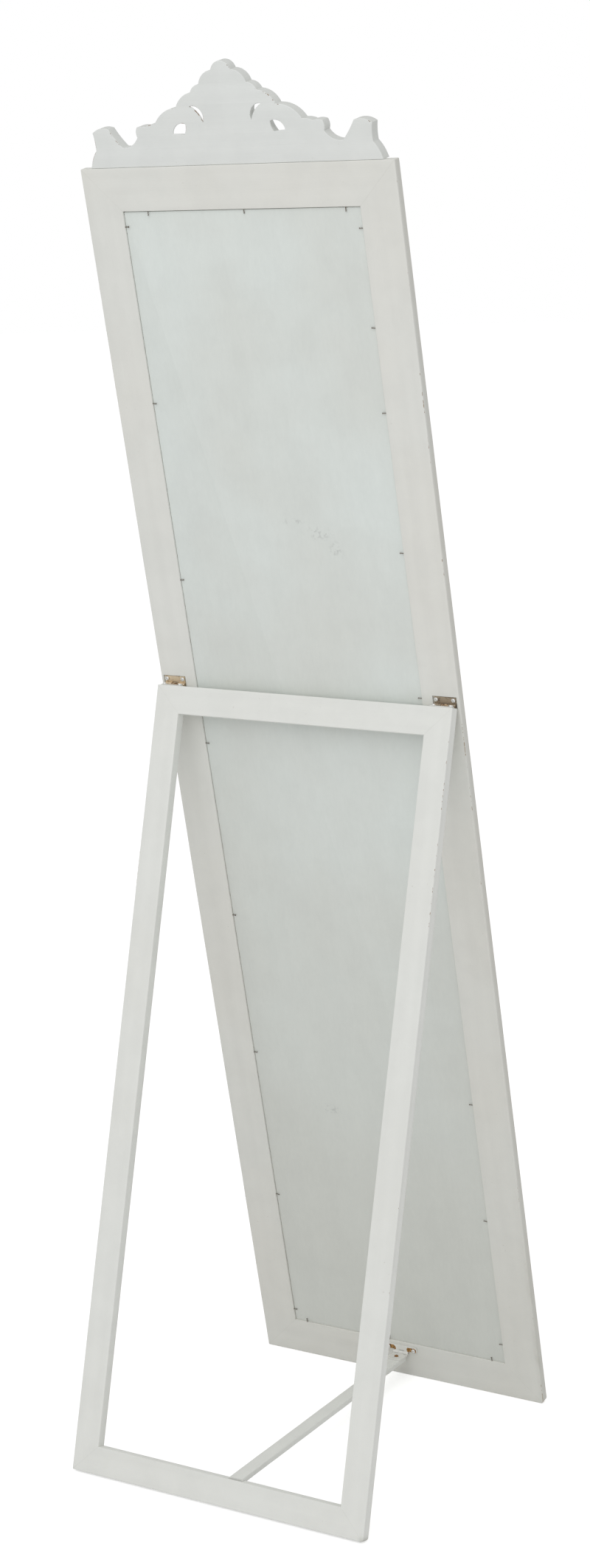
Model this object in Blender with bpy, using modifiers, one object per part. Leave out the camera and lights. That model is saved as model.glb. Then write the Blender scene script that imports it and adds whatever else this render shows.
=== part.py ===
"""Easel-backed cheval floor mirror: a leaning mirror frame with a pierced crest, a hinged rear
stand and a prop brace between their bottom rails.

Run it with blender --background --python part.py. Metres, +Z up. The glass looks along -Y, the
stand is on the +Y side, and +X is the left-hand side for a person who looks at the back. The
origin is at floor level, midway between the frontmost and the rearmost point.

Three local frames carry the pieces, each with X across the width:
  mirror  Y is the outward normal of the frame's back, Z runs up the frame from its foot
  stand   Y is the outward normal of the stand's back, Z runs up the stand, origin on the hinges
  brace   Y runs along the brace to the stand, Z is up, origin on the brace's hinge
"""

import math

import bmesh
import bpy
from mathutils import Matrix, Vector

MM = 0.001

# ---- Driving dimensions: mirror frame -------------------------------------------------------
FRAME_WIDTH = 450 * MM
FRAME_HEIGHT = 1728 * MM
FRAME_RAIL = 54 * MM  # width of a frame member on the back, from its outer edge to the board
FRAME_LIP = 8 * MM  # how far the front of a member reaches over the glass
FRAME_SIDE = 12 * MM  # depth of the plain outer edge
REBATE_DEPTH = 9.8 * MM
SIGHT_BEAD_RADIUS = 4 * MM
SIGHT_BEAD_DEPTH = 14 * MM
HOLLOW_START = 9.6 * MM  # from the sight edge to the step where the hollow begins
HOLLOW_END = 18 * MM  # from the outer edge
HOLLOW_DEEP = 17 * MM
OUTER_BEAD_RADIUS = 5 * MM
OUTER_BEAD_PLACE = 11 * MM  # from the outer edge
OUTER_BEAD_DEPTH = 12.6 * MM
MIRROR_LEAN = math.radians(12.5)
ARRIS = 1.0 * MM  # rounding of the outer long edges

# ---- Driving dimensions: glass, board and brads ---------------------------------------------
GLASS_THICKNESS = 3.0 * MM
BOARD_THICKNESS = 4.0 * MM
SHEET_PLAY = 1.0 * MM  # between a sheet and the rebate, at the sides and the bottom
BOARD_TOP_PLAY = 2.5 * MM
BRAD_RADIUS = 0.7 * MM
BRAD_HEAD_RADIUS = 1.1 * MM
BRAD_LENGTH = 13 * MM
BRAD_SHOWN = 5.5 * MM  # the part of a brad that stands over the board
BRADS_ON_LEFT = (0.011, 0.130, 0.271, 0.402, 0.559, 0.701, 0.848, 0.988)  # share of the opening
BRADS_ON_RIGHT = (0.019, 0.141, 0.253, 0.614, 0.733, 0.844, 0.909, 0.984)
BRADS_ON_TOP = (-0.44, -0.02, 0.39)
BRADS_ON_BOTTOM = (-0.44, 0.04, 0.44)

# ---- Driving dimensions: crest --------------------------------------------------------------
CREST_THICKNESS = 15 * MM
CREST_RECESS = 2 * MM  # crest back, behind the plane of the frame's back
CREST_INSET = 16 * MM  # from the frame's outer edge to the end of the crest
CREST_HEIGHT = 123.5 * MM
ORNAMENT_THICKNESS = 5 * MM
DOWEL_RADIUS = 3 * MM
DOWEL_LENGTH = 30 * MM
DOWEL_DEPTH = 7 * MM  # of its axis from the plane of the frame's back
DOWEL_SPACING = 200 * MM

# ---- Driving dimensions: stand --------------------------------------------------------------
STAND_INSET = 2.5 * MM  # from the mirror's outer edge to the stand's
STAND_RAIL = 37 * MM
STAND_THICKNESS = 14 * MM
STAND_SPREAD = math.radians(14.1)  # lean of the stand from the vertical
STAND_HINGE_HEIGHT = 1042 * MM  # up the mirror frame, from its foot
STAND_FACE_OFFSET = 0.2 * MM  # front face of the stand, behind the hinge axis

# ---- Driving dimensions: hinges and screws --------------------------------------------------
KNUCKLE_RADIUS = 2.4 * MM
PIN_RADIUS = 1.0 * MM
LEAF_THICKNESS = 1.0 * MM
LEAF_HEIGHT = 11 * MM  # from the pin's axis to the leaf's free edge
BUTT_WIDTH = 31 * MM
BUTT_INSET = 5.5 * MM  # from the mirror's outer edge to the end of the leaf
BUTT_AXIS_OFFSET = 0.6 * MM  # hinge axis, behind the frame's back
POCKET_MARGIN = 1.8 * MM  # between a leaf and the pocket's edge
SCREW_INSET = 3.25 * MM  # from the end of a leaf to a screw's centre
SCREW_HEIGHT = 7.2 * MM  # screw centre from the hinge axis
SCREW_HEAD_RADIUS = 2.9 * MM
SCREW_HEAD_HEIGHT = 1.7 * MM
SCREW_SHANK_RADIUS = 1.3 * MM
SCREW_LENGTH = 9 * MM

# ---- Driving dimensions: brace and its T hinge ----------------------------------------------
BRACE_WIDTH = 19 * MM
BRACE_THICKNESS = 6 * MM
BRACE_OFFSET = -5 * MM  # middle of the T hinge, from the middle of the mirror
BRACE_SKEW = math.radians(2.65)  # the bar runs a little askew of its hinge
BRACE_HINGE_HEIGHT = 38.5 * MM  # up the mirror frame, from its foot
CROSS_WIDTH = 50 * MM
CROSS_SCREW_INSET = 5 * MM
CROSS_SCREW_HEIGHT = 5.6 * MM
STRAP_WIDTH = 23 * MM
STRAP_LENGTH = 24 * MM
STRAP_SCREW_PLACE = 14 * MM
BRACE_NEAR_END = 4.5 * MM  # start of the bar, from the hinge axis
PEG_RADIUS = 2.0 * MM
PEG_DROP = 4.0 * MM  # how far the peg reaches below the bar
PEG_FROM_END = 9.5 * MM
PEG_TRAVEL = 3.0 * MM  # room for the peg to slide as the brace lifts out

# ---- Named clearances -----------------------------------------------------------------------
GAP = 0.3 * MM  # between pieces that touch
PIN_CLEARANCE = 0.3 * MM
HOLE_CLEARANCE = 0.3 * MM
HOUSING_CLEARANCE = 0.5 * MM  # beside the bar in the stand's bottom rail
BRACE_END_CLEARANCE = 0.8 * MM
OVERCUT = 2 * MM  # how far a cutter reaches past the surface that it opens

ROUND_STEPS = 16
ARC_STEPS = 4
BRAD_STEPS = 8
PIERCING_WALL = 1.5 * MM  # a piercing is this deep before it widens
QUARTER_TURN = math.radians(90)

# ---- Sizes that follow ----------------------------------------------------------------------
OPENING_WIDTH = FRAME_WIDTH - 2 * FRAME_RAIL
OPENING_HEIGHT = FRAME_HEIGHT - 2 * FRAME_RAIL
BOARD_BACK = -(REBATE_DEPTH - GLASS_THICKNESS - BOARD_THICKNESS - 2 * GAP)
CREST_HALF_WIDTH = FRAME_WIDTH / 2 - CREST_INSET
STAND_WIDTH = FRAME_WIDTH - 2 * STAND_INSET
BUTT_CENTRE = FRAME_WIDTH / 2 - BUTT_INSET - BUTT_WIDTH / 2
LEAF_FACE = LEAF_THICKNESS - KNUCKLE_RADIUS  # from the hinge axis to the outside of a leaf
SCREW_HOLE_RADIUS = SCREW_SHANK_RADIUS + HOLE_CLEARANCE


def foot_lift(lean, radius):
    """Height by which rounding an arris raises a frame that stands on it at this lean."""
    return radius * (math.cos(lean) + math.sin(lean) - 1)


def rotated_x(angle, y, z):
    """The Y and Z of a point turned about X by this angle."""
    return (y * math.cos(angle) - z * math.sin(angle), y * math.sin(angle) + z * math.cos(angle))


def mirror_to_foot(y, z):
    """A point of the mirror's frame, from the foot arris, as world Y and Z."""
    moved_y, moved_z = rotated_x(-MIRROR_LEAN, y, z)
    return moved_y, moved_z - foot_lift(MIRROR_LEAN, ARRIS)


HINGE_Y, HINGE_Z = mirror_to_foot(BUTT_AXIS_OFFSET, STAND_HINGE_HEIGHT)
STAND_TOP = -(KNUCKLE_RADIUS + GAP)  # top face of the stand, below the hinge axis
STAND_DROP = (
    HINGE_Z + STAND_FACE_OFFSET * math.sin(STAND_SPREAD) + foot_lift(STAND_SPREAD, ARRIS)
) / math.cos(STAND_SPREAD)
STAND_LENGTH = STAND_DROP + STAND_TOP
STAND_BACK = STAND_FACE_OFFSET + STAND_THICKNESS

BRACE_Y, BRACE_Z = mirror_to_foot(KNUCKLE_RADIUS + GAP, BRACE_HINGE_HEIGHT)
BAR_TOP = -(KNUCKLE_RADIUS + GAP)  # top of the bar, below its hinge axis

# The bar's top passes through the upper rear arris of the stand's bottom rail.
REST_Y, REST_Z = rotated_x(STAND_SPREAD, STAND_BACK, STAND_RAIL - STAND_DROP)
REST_Y += HINGE_Y - BRACE_Y
REST_Z += HINGE_Z - BRACE_Z
BRACE_SLOPE = math.atan2(REST_Z, REST_Y) - math.asin(BAR_TOP / math.hypot(REST_Y, REST_Z))
BRACE_REACH = math.sqrt(REST_Y**2 + REST_Z**2 - BAR_TOP**2) / math.cos(BRACE_SKEW)
BAR_END = BRACE_REACH - BRACE_END_CLEARANCE
PEG_PLACE = BAR_END - PEG_FROM_END

# The rearmost point is the stand's lower rear arris, the frontmost the outer bead at the foot.
REAR_Y = HINGE_Y + rotated_x(STAND_SPREAD, STAND_BACK, -STAND_DROP)[0]
REAR_Y -= foot_lift(STAND_SPREAD, ARRIS)
FRONT_Y = rotated_x(-MIRROR_LEAN, -OUTER_BEAD_DEPTH, OUTER_BEAD_PLACE)[0] - OUTER_BEAD_RADIUS
SHIFT_Y = -(FRONT_Y + REAR_Y) / 2


# ---- Scene ----------------------------------------------------------------------------------
for old in list(bpy.data.objects):
    bpy.data.objects.remove(old, do_unlink=True)

PARTS = bpy.data.collections.new("cheval_floor_mirror")
CUTTERS = bpy.data.collections.new("cutters")
for folder in (PARTS, CUTTERS):
    bpy.context.scene.collection.children.link(folder)


def material(name, colour, roughness, metallic=0.0):
    """A plain Principled material."""
    made = bpy.data.materials.new(name)
    made.use_nodes = True
    shader = made.node_tree.nodes["Principled BSDF"]
    shader.inputs["Base Color"].default_value = (*colour, 1.0)
    shader.inputs["Roughness"].default_value = roughness
    shader.inputs["Metallic"].default_value = metallic
    return made


PAINT = material("white_paint", (0.72, 0.72, 0.68), 0.55)
BOARD = material("backing_board", (0.68, 0.71, 0.70), 0.75)
MIRROR = material("mirror_glass", (0.85, 0.88, 0.88), 0.03, 1.0)
BRASS = material("brass_plate", (0.55, 0.38, 0.18), 0.38, 1.0)
ZINC = material("zinc_screw", (0.62, 0.64, 0.66), 0.32, 1.0)
STEEL = material("dark_steel", (0.10, 0.09, 0.08), 0.55, 0.8)
RAW_WOOD = material("raw_wood", (0.55, 0.40, 0.24), 0.80)


def empty(name, location, rotation, parent=None):
    """An empty that carries the pieces of one local frame."""
    made = bpy.data.objects.new(name, None)
    made.location = location
    made.rotation_euler = rotation
    made.parent = parent
    PARTS.objects.link(made)
    return made


MIRROR_FRAME = empty(
    "mirror_foot", (0, SHIFT_Y, -foot_lift(MIRROR_LEAN, ARRIS)), (-MIRROR_LEAN, 0, 0)
)
STAND_FRAME = empty("stand_hinge_axis", (0, SHIFT_Y + HINGE_Y, HINGE_Z), (STAND_SPREAD, 0, 0))
BRACE_FRAME = empty(
    "brace_hinge_axis", (BRACE_OFFSET, SHIFT_Y + BRACE_Y, BRACE_Z), (BRACE_SLOPE, 0, 0)
)
BAR_FRAME = empty("bar_line", (0, 0, 0), (0, 0, BRACE_SKEW), BRACE_FRAME)


# ---- Tools ----------------------------------------------------------------------------------
def add_piece(name, mesh, finish, parent, location=(0, 0, 0), rotation=(0, 0, 0)):
    """One named piece in a local frame."""
    mesh.name = name
    mesh.materials.clear()
    mesh.materials.append(finish)
    made = bpy.data.objects.new(name, mesh)
    made.parent = parent
    made.location = location
    made.rotation_euler = rotation
    PARTS.objects.link(made)
    return made


def cut(target, mesh, name, parent, location=(0, 0, 0), rotation=(0, 0, 0)):
    """Takes a mesh out of a piece with an exact Boolean."""
    cutter = bpy.data.objects.new(name, mesh)
    cutter.parent = parent
    cutter.location = location
    cutter.rotation_euler = rotation
    cutter.hide_render = True
    cutter.display_type = "WIRE"
    CUTTERS.objects.link(cutter)
    boolean = target.modifiers.new(name, "BOOLEAN")
    boolean.operation = "DIFFERENCE"
    boolean.solver = "EXACT"
    boolean.object = cutter
    return cutter


def mesh_from(bm, name):
    """Turns a bmesh into a mesh with its faces pointing out."""
    bmesh.ops.recalc_face_normals(bm, faces=bm.faces)
    mesh = bpy.data.meshes.new(name)
    bm.to_mesh(mesh)
    bm.free()
    return mesh


def box_mesh(name, low, high):
    """A box between two corners."""
    bm = bmesh.new()
    bmesh.ops.create_cube(bm, size=1.0)
    low, high = Vector(low), Vector(high)
    size = Matrix.Diagonal((*(high - low), 1.0))
    bm.transform(Matrix.Translation((low + high) / 2) @ size)
    return mesh_from(bm, name)


def rod_mesh(name, radius, low, high):
    """A round rod on local Z, from one height to another."""
    bm = bmesh.new()
    bmesh.ops.create_cone(
        bm,
        cap_ends=True,
        segments=ROUND_STEPS,
        radius1=radius,
        radius2=radius,
        depth=high - low,
        matrix=Matrix.Translation((0, 0, (low + high) / 2)),
    )
    return mesh_from(bm, name)


def arc(centre, radius, start, end, steps=ARC_STEPS):
    """Points on an arc, with angles in degrees."""
    points = []
    for index in range(steps + 1):
        angle = math.radians(start + (end - start) * index / steps)
        across = centre[0] + radius * math.cos(angle)
        points.append((across, centre[1] + radius * math.sin(angle)))
    return points


def bowed(start, end, bulge, steps):
    """Points from start to end, start left out, on an arc that bulges to the left of its way."""
    start, end = Vector(start), Vector(end)
    if abs(bulge) < 0.01 * MM:
        return [end]
    chord = end - start
    half = chord.length / 2
    radius = (half**2 + bulge**2) / (2 * abs(bulge))
    side = Vector((-chord.y, chord.x)).normalized() * math.copysign(1, bulge)
    centre = (start + end) / 2 - side * (radius - abs(bulge))
    first = start - centre
    sweep = -math.copysign(2 * math.asin(min(1.0, half / radius)), bulge)
    if abs(bulge) > half:
        sweep = -math.copysign(2 * math.pi, bulge) - sweep
    points = []
    for index in range(1, steps + 1):
        turn = Matrix.Rotation(sweep * index / steps, 2)
        points.append(centre + turn @ first)
    return points


def outline_mesh(name, outlines, thickness, rounding=0.0, rounding_steps=1):
    """A flat plate in local XY, with holes, centred on Z. Rounding softens its outer edges."""
    curve = bpy.data.curves.new(name, "CURVE")
    curve.dimensions = "2D"
    curve.fill_mode = "BOTH"
    curve.extrude = thickness / 2 - rounding
    curve.bevel_depth = rounding
    curve.bevel_resolution = rounding_steps
    curve.offset = -rounding
    for outline in outlines:
        spline = curve.splines.new("POLY")
        spline.points.add(len(outline) - 1)
        for point, (across, up) in zip(spline.points, outline):
            point.co = (across, up, 0, 1)
        spline.use_cyclic_u = True
    holder = bpy.data.objects.new(name, curve)
    PARTS.objects.link(holder)
    graph = bpy.context.evaluated_depsgraph_get()
    mesh = bpy.data.meshes.new_from_object(holder.evaluated_get(graph))
    bpy.data.objects.remove(holder, do_unlink=True)
    bpy.data.curves.remove(curve)
    bm = bmesh.new()
    bm.from_mesh(mesh)
    bpy.data.meshes.remove(mesh)
    bmesh.ops.remove_doubles(bm, verts=bm.verts, dist=0.01 * MM)
    return mesh_from(bm, name)


# Local X, Y and Z of a flat plate to X, Y and Z of a piece.
CROSSWAYS = Matrix(((0, 0, 1, 0), (1, 0, 0, 0), (0, 1, 0, 0), (0, 0, 0, 1)))  # plate on edge
UPRIGHT = Matrix.Rotation(QUARTER_TURN, 4, "X")  # plate facing -Y


def turned(name, profile, finish, parent, location, rotation=(0, 0, 0)):
    """A turned piece about local Z. Its profile runs from the axis, down the outside, back."""
    bm = bmesh.new()
    corners = [bm.verts.new((radius, 0, height)) for radius, height in profile]
    for first, second in zip(corners, corners[1:]):
        bm.edges.new((first, second))
    mesh = bpy.data.meshes.new(name)
    bm.to_mesh(mesh)
    bm.free()
    made = add_piece(name, mesh, finish, parent, location, rotation)
    screw = made.modifiers.new("turn", "SCREW")
    screw.steps = ROUND_STEPS
    screw.render_steps = ROUND_STEPS
    screw.use_merge_vertices = True
    screw.merge_threshold = 0.00001
    return made


def screw_piece(name, parent, location, rotation, length=SCREW_LENGTH):
    """A pan-head wood screw. Its head sits at local Z = 0 and it runs down -Z."""
    profile = [
        (0, SCREW_HEAD_HEIGHT),
        (SCREW_HEAD_RADIUS * 0.55, SCREW_HEAD_HEIGHT),
        (SCREW_HEAD_RADIUS * 0.9, SCREW_HEAD_HEIGHT * 0.62),
        (SCREW_HEAD_RADIUS, SCREW_HEAD_HEIGHT * 0.2),
        (SCREW_HEAD_RADIUS, 0),
        (SCREW_SHANK_RADIUS, 0),
        (SCREW_SHANK_RADIUS, -length * 0.75),
        (0, -length),
    ]
    return turned(name, profile, ZINC, parent, location, rotation)


def rail_mesh(name, profile, length):
    """A mitred member along local X. Profile points are (distance inward, depth): the outer
    edge is at Z = 0, the inner edge at negative Z, the back at Y = 0."""
    deepest = max(inward for inward, _ in profile)
    reach = length / 2 + deepest
    bm = bmesh.new()
    corners = [bm.verts.new((-reach, depth, -inward)) for inward, depth in profile]
    end = bm.faces.new(corners)
    grown = bmesh.ops.extrude_face_region(bm, geom=[end])["geom"]
    moved = [item for item in grown if isinstance(item, bmesh.types.BMVert)]
    bmesh.ops.translate(bm, verts=moved, vec=(2 * reach, 0, 0))
    for side in (-1, 1):
        split = bmesh.ops.bisect_plane(
            bm,
            geom=bm.verts[:] + bm.edges[:] + bm.faces[:],
            plane_co=(side * (length / 2 - GAP / 2), 0, 0),
            plane_no=(side, 0, -1),
            clear_outer=True,
        )["geom_cut"]
        edges = [item for item in split if isinstance(item, bmesh.types.BMEdge)]
        bmesh.ops.edgeloop_fill(bm, edges=edges)
    return mesh_from(bm, name)


# ---- Mirror frame ---------------------------------------------------------------------------
def frame_profile():
    """Section of the mirror frame: flat back, rebate, sight bead, ogee and outer bead."""
    sight = FRAME_RAIL + FRAME_LIP
    sight_bead = (sight - SIGHT_BEAD_RADIUS, -SIGHT_BEAD_DEPTH)
    outer_bead = (OUTER_BEAD_PLACE, -OUTER_BEAD_DEPTH)
    hollow_from = sight - HOLLOW_START
    steps = 6
    profile = arc((ARRIS, -ARRIS), ARRIS, 180, 90, 2)
    profile += [(FRAME_RAIL, 0), (FRAME_RAIL, -REBATE_DEPTH), (sight, -REBATE_DEPTH)]
    profile += arc(sight_bead, SIGHT_BEAD_RADIUS, 0, -165, 5)
    for index in range(steps + 1):
        share = index / steps
        shallower = (1 - math.cos(math.pi * share)) / 2
        across = hollow_from + (HOLLOW_END - hollow_from) * share
        profile.append((across, (HOLLOW_DEEP - OUTER_BEAD_DEPTH) * shallower - HOLLOW_DEEP))
    profile += arc(outer_bead, OUTER_BEAD_RADIUS, -20, -160, 5)
    profile += arc((ARRIS, ARRIS - FRAME_SIDE), ARRIS, 270, 180, 2)
    return profile


def add_frame_members(names, profile, finish, parent, width, height, base):
    """Four mitred members: left and right stile, top and bottom rail, as on a picture frame."""
    middle = base + height / 2
    places = (
        (height, (width / 2, 0, middle), (0, QUARTER_TURN, 0)),
        (height, (-width / 2, 0, middle), (0, -QUARTER_TURN, 0)),
        (width, (0, 0, base + height), (0, 0, 0)),
        (width, (0, 0, base), (0, 2 * QUARTER_TURN, 0)),
    )
    members = []
    for name, (length, location, rotation) in zip(names, places):
        mesh = rail_mesh(name, profile, length)
        members.append(add_piece(name, mesh, finish, parent, location, rotation))
    return members


MIRROR_NAMES = ("mirror_stile_left", "mirror_stile_right", "mirror_rail_top", "mirror_rail_bottom")
stile_left, stile_right, rail_top, rail_bottom = add_frame_members(
    MIRROR_NAMES, frame_profile(), PAINT, MIRROR_FRAME, FRAME_WIDTH, FRAME_HEIGHT, 0
)


def add_sheets():
    """The mirror glass and the backing board in the rebate."""
    half = OPENING_WIDTH / 2 - SHEET_PLAY
    bottom = FRAME_RAIL + SHEET_PLAY
    top = FRAME_HEIGHT - FRAME_RAIL
    glass_front = -REBATE_DEPTH + GAP
    glass = box_mesh(
        "mirror_glass",
        (-half, glass_front, bottom),
        (half, glass_front + GLASS_THICKNESS, top - SHEET_PLAY),
    )
    add_piece("mirror_glass", glass, MIRROR, MIRROR_FRAME)
    board = box_mesh(
        "backing_board",
        (-half, BOARD_BACK - BOARD_THICKNESS, bottom),
        (half, BOARD_BACK, top - BOARD_TOP_PLAY),
    )
    add_piece("backing_board", board, BOARD, MIRROR_FRAME)


add_sheets()


def add_brads():
    """Brads driven into the rebate wall, each with its pilot hole, holding the board down."""
    edge = OPENING_WIDTH / 2
    top = FRAME_HEIGHT - FRAME_RAIL
    depth = BOARD_BACK + BRAD_HEAD_RADIUS + GAP
    sunk = BRAD_LENGTH - BRAD_SHOWN
    # Each row: member, side, its brads' places, and the turn that points +Z out of the wall.
    rows = (
        (stile_left, "left", [(edge, FRAME_RAIL + s * OPENING_HEIGHT) for s in BRADS_ON_LEFT]),
        (stile_right, "right", [(-edge, FRAME_RAIL + s * OPENING_HEIGHT) for s in BRADS_ON_RIGHT]),
        (rail_top, "top", [(s * OPENING_WIDTH, top) for s in BRADS_ON_TOP]),
        (rail_bottom, "bottom", [(s * OPENING_WIDTH, FRAME_RAIL) for s in BRADS_ON_BOTTOM]),
    )
    turns = {
        "left": (0, -QUARTER_TURN, 0),
        "right": (0, QUARTER_TURN, 0),
        "top": (2 * QUARTER_TURN, 0, 0),
        "bottom": (0, 0, 0),
    }
    profile = [
        (0, BRAD_SHOWN),
        (BRAD_HEAD_RADIUS, BRAD_SHOWN),
        (BRAD_HEAD_RADIUS, BRAD_SHOWN - 0.6 * MM),
        (BRAD_RADIUS, BRAD_SHOWN - 1.0 * MM),
        (BRAD_RADIUS, 1.5 * BRAD_RADIUS - sunk),
        (0, -sunk),
    ]
    for member, side, places in rows:
        for number, (across, up) in enumerate(places, 1):
            name = f"brad_{side}_{number}"
            where = (across, depth, up)
            brad = turned(name, profile, STEEL, MIRROR_FRAME, where, turns[side])
            brad.modifiers["turn"].steps = BRAD_STEPS
            brad.modifiers["turn"].render_steps = BRAD_STEPS
            hole = rod_mesh(f"pilot_{name}", BRAD_RADIUS + HOLE_CLEARANCE, -sunk - GAP, OVERCUT)
            cut(member, hole, f"pilot_{name}", MIRROR_FRAME, where, turns[side])


add_brads()


# ---- Crest ----------------------------------------------------------------------------------
# The crest is drawn 209 mm from its middle to its end and 123.5 mm high, then stretched to size.
CREST_STRETCH = Matrix.Diagonal((CREST_HALF_WIDTH / (209 * MM), CREST_HEIGHT / (123.5 * MM)))


def crest_outline():
    """Scalloped outline: from the middle of the base, up the +X side, mirrored down the other."""
    # Each step: end point (from the middle, up) and how far the edge bulges outward, in mm.
    steps = (
        ((198, 21.5), 1.5),
        ((199.5, 43.5), -0.8),
        ((175, 47.5), 3.2),
        ((158, 24.8), -0.8),
        ((133.5, 36.2), -4.2),
        ((132.5, 48.5), 1.6),
        ((119, 48.9), 1.0),
        ((105, 51.5), 0.9),
        ((71.5, 70), 5.0),
        ((47.5, 87.5), 4.0),
        ((34, 97), 2.4),
        ((14, 113), 4.2),
    )
    half = [Vector((CREST_HALF_WIDTH, GAP))]
    for (across, up), bulge in steps:
        half += bowed(half[-1], CREST_STRETCH @ Vector((across, up)) * MM, -bulge * MM, 6)
    shoulder = half[-1]
    rise = CREST_HEIGHT - shoulder.y
    cap = bowed(shoulder, (-shoulder.x, shoulder.y), -rise, 12)[:-1]
    other = [Vector((-point.x, point.y)) for point in reversed(half)]
    return half + cap + other


def crest_cutouts():
    """Two crescents and two D-shaped holes: each is its outline at the back and at the front."""
    # Each side: its two ends (from the middle, up), how far it bows and its number of steps. The
    # holes widen to the front, most of all away from the shell, so that the crest looks thin.
    crescent = (
        (((50.5, 71), (34.4, 52.5), -7, 8), ((34.4, 52.5), (50.5, 71), 2.6, 6)),
        (((56, 72), (36, 47), -15, 8), ((36, 47), (56, 72), -2, 6)),
    )
    d_shape = (
        (
            ((80, 39), (60.5, 50), -5.5, 8),
            ((60.5, 50), (64, 37.8), -1.2, 3),
            ((64, 37.8), (80, 39), 0, 1),
        ),
        (
            ((90, 37), (61, 53.5), -8, 8),
            ((61, 53.5), (63, 36.5), -1.2, 3),
            ((63, 36.5), (90, 37), 0, 1),
        ),
    )
    holes = []
    for levels in (crescent, d_shape):
        outlines = []
        for sides in levels:
            outline = []
            for start, end, bulge, steps in sides:
                outline += bowed(Vector(start) * MM, Vector(end) * MM, bulge * MM, steps)
            outlines.append([CREST_STRETCH @ point for point in outline])
        holes.append(outlines)
        holes.append([[Vector((-point.x, point.y)) for point in level] for level in outlines])
    return holes


def flared_mesh(name, back, front):
    """A hole's filling that widens from its outline at the crest's back to that at its front."""
    half = CREST_THICKNESS / 2
    levels = (
        (back, half + OVERCUT),
        (back, half - PIERCING_WALL),
        (front, -half),
        (front, -half - OVERCUT),
    )
    bm = bmesh.new()
    rings = [[bm.verts.new((p.x, depth, p.y)) for p in level] for level, depth in levels]
    for first, second in zip(rings, rings[1:]):
        for index in range(len(first)):
            quad = (first[index - 1], first[index], second[index], second[index - 1])
            bm.faces.new(quad)
    bm.faces.new(rings[0])
    bm.faces.new(rings[-1])
    bmesh.ops.triangulate(bm, faces=bm.faces)
    return mesh_from(bm, name)


def crest_depth(front):
    """Depth of the middle of a plate whose back is this far in front of the crest's back."""
    return -(CREST_RECESS + front)


def add_crest():
    """Crest board on two dowels, with an applied shell and two leaf scrolls on its front."""
    mesh = outline_mesh("crest_board", [crest_outline()], CREST_THICKNESS, ARRIS)
    mesh.transform(UPRIGHT)
    place = (0, crest_depth(CREST_THICKNESS / 2), FRAME_HEIGHT)
    board = add_piece("crest_board", mesh, PAINT, MIRROR_FRAME, place)
    for number, (back, front) in enumerate(crest_cutouts(), 1):
        name = f"crest_piercing_{number}"
        cut(board, flared_mesh(name, back, front), name, MIRROR_FRAME, place)

    sides = {"left": DOWEL_SPACING / 2, "right": -DOWEL_SPACING / 2}
    half = DOWEL_LENGTH / 2
    for side, across in sides.items():
        where = (across, -DOWEL_DEPTH, FRAME_HEIGHT)
        chamfer = 1 * MM
        profile = [
            (0, half),
            (DOWEL_RADIUS - chamfer, half),
            (DOWEL_RADIUS, half - chamfer),
            (DOWEL_RADIUS, chamfer - half),
            (DOWEL_RADIUS - chamfer, -half),
            (0, -half),
        ]
        turned(f"crest_dowel_{side}", profile, RAW_WOOD, MIRROR_FRAME, where)
        for target in (board, rail_top):
            hole = rod_mesh("hole", DOWEL_RADIUS + HOLE_CLEARANCE, -half - GAP, half + GAP)
            cut(target, hole, f"dowel_hole_{side}_{target.name}", MIRROR_FRAME, where)

    depth = crest_depth(CREST_THICKNESS + GAP + ORNAMENT_THICKNESS / 2)
    add_shell(depth)
    for side, sign in (("left", 1), ("right", -1)):
        add_scroll(f"crest_scroll_{side}", sign, depth)


def add_shell(depth):
    """Scalloped shell in the middle of the crest: seven lobes round a fan."""
    lobes = 7
    radius = 21 * MM
    spread = math.radians(210)
    centre = CREST_STRETCH @ Vector((0, 82 * MM))
    edge = []
    for index in range(lobes + 1):
        angle = math.radians(90) + spread / 2 - spread * index / lobes
        edge.append(centre + Vector((math.cos(angle), math.sin(angle))) * radius)
    outline = [edge[0]]
    for first, second in zip(edge, edge[1:]):
        outline += bowed(first, second, 2.6 * MM, 5)
    foot = Vector((8 * MM, centre.y - 30 * MM))
    outline += bowed(outline[-1], (foot.x, foot.y), -4 * MM, 4)
    outline += bowed(foot, (-foot.x, foot.y), 4 * MM, 5)
    outline += bowed((-foot.x, foot.y), edge[0], -4 * MM, 4)[:-1]
    mesh = outline_mesh("crest_shell", [outline], ORNAMENT_THICKNESS, ORNAMENT_THICKNESS * 0.4)
    mesh.transform(UPRIGHT)
    add_piece("crest_shell", mesh, PAINT, MIRROR_FRAME, (0, depth, FRAME_HEIGHT))


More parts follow.
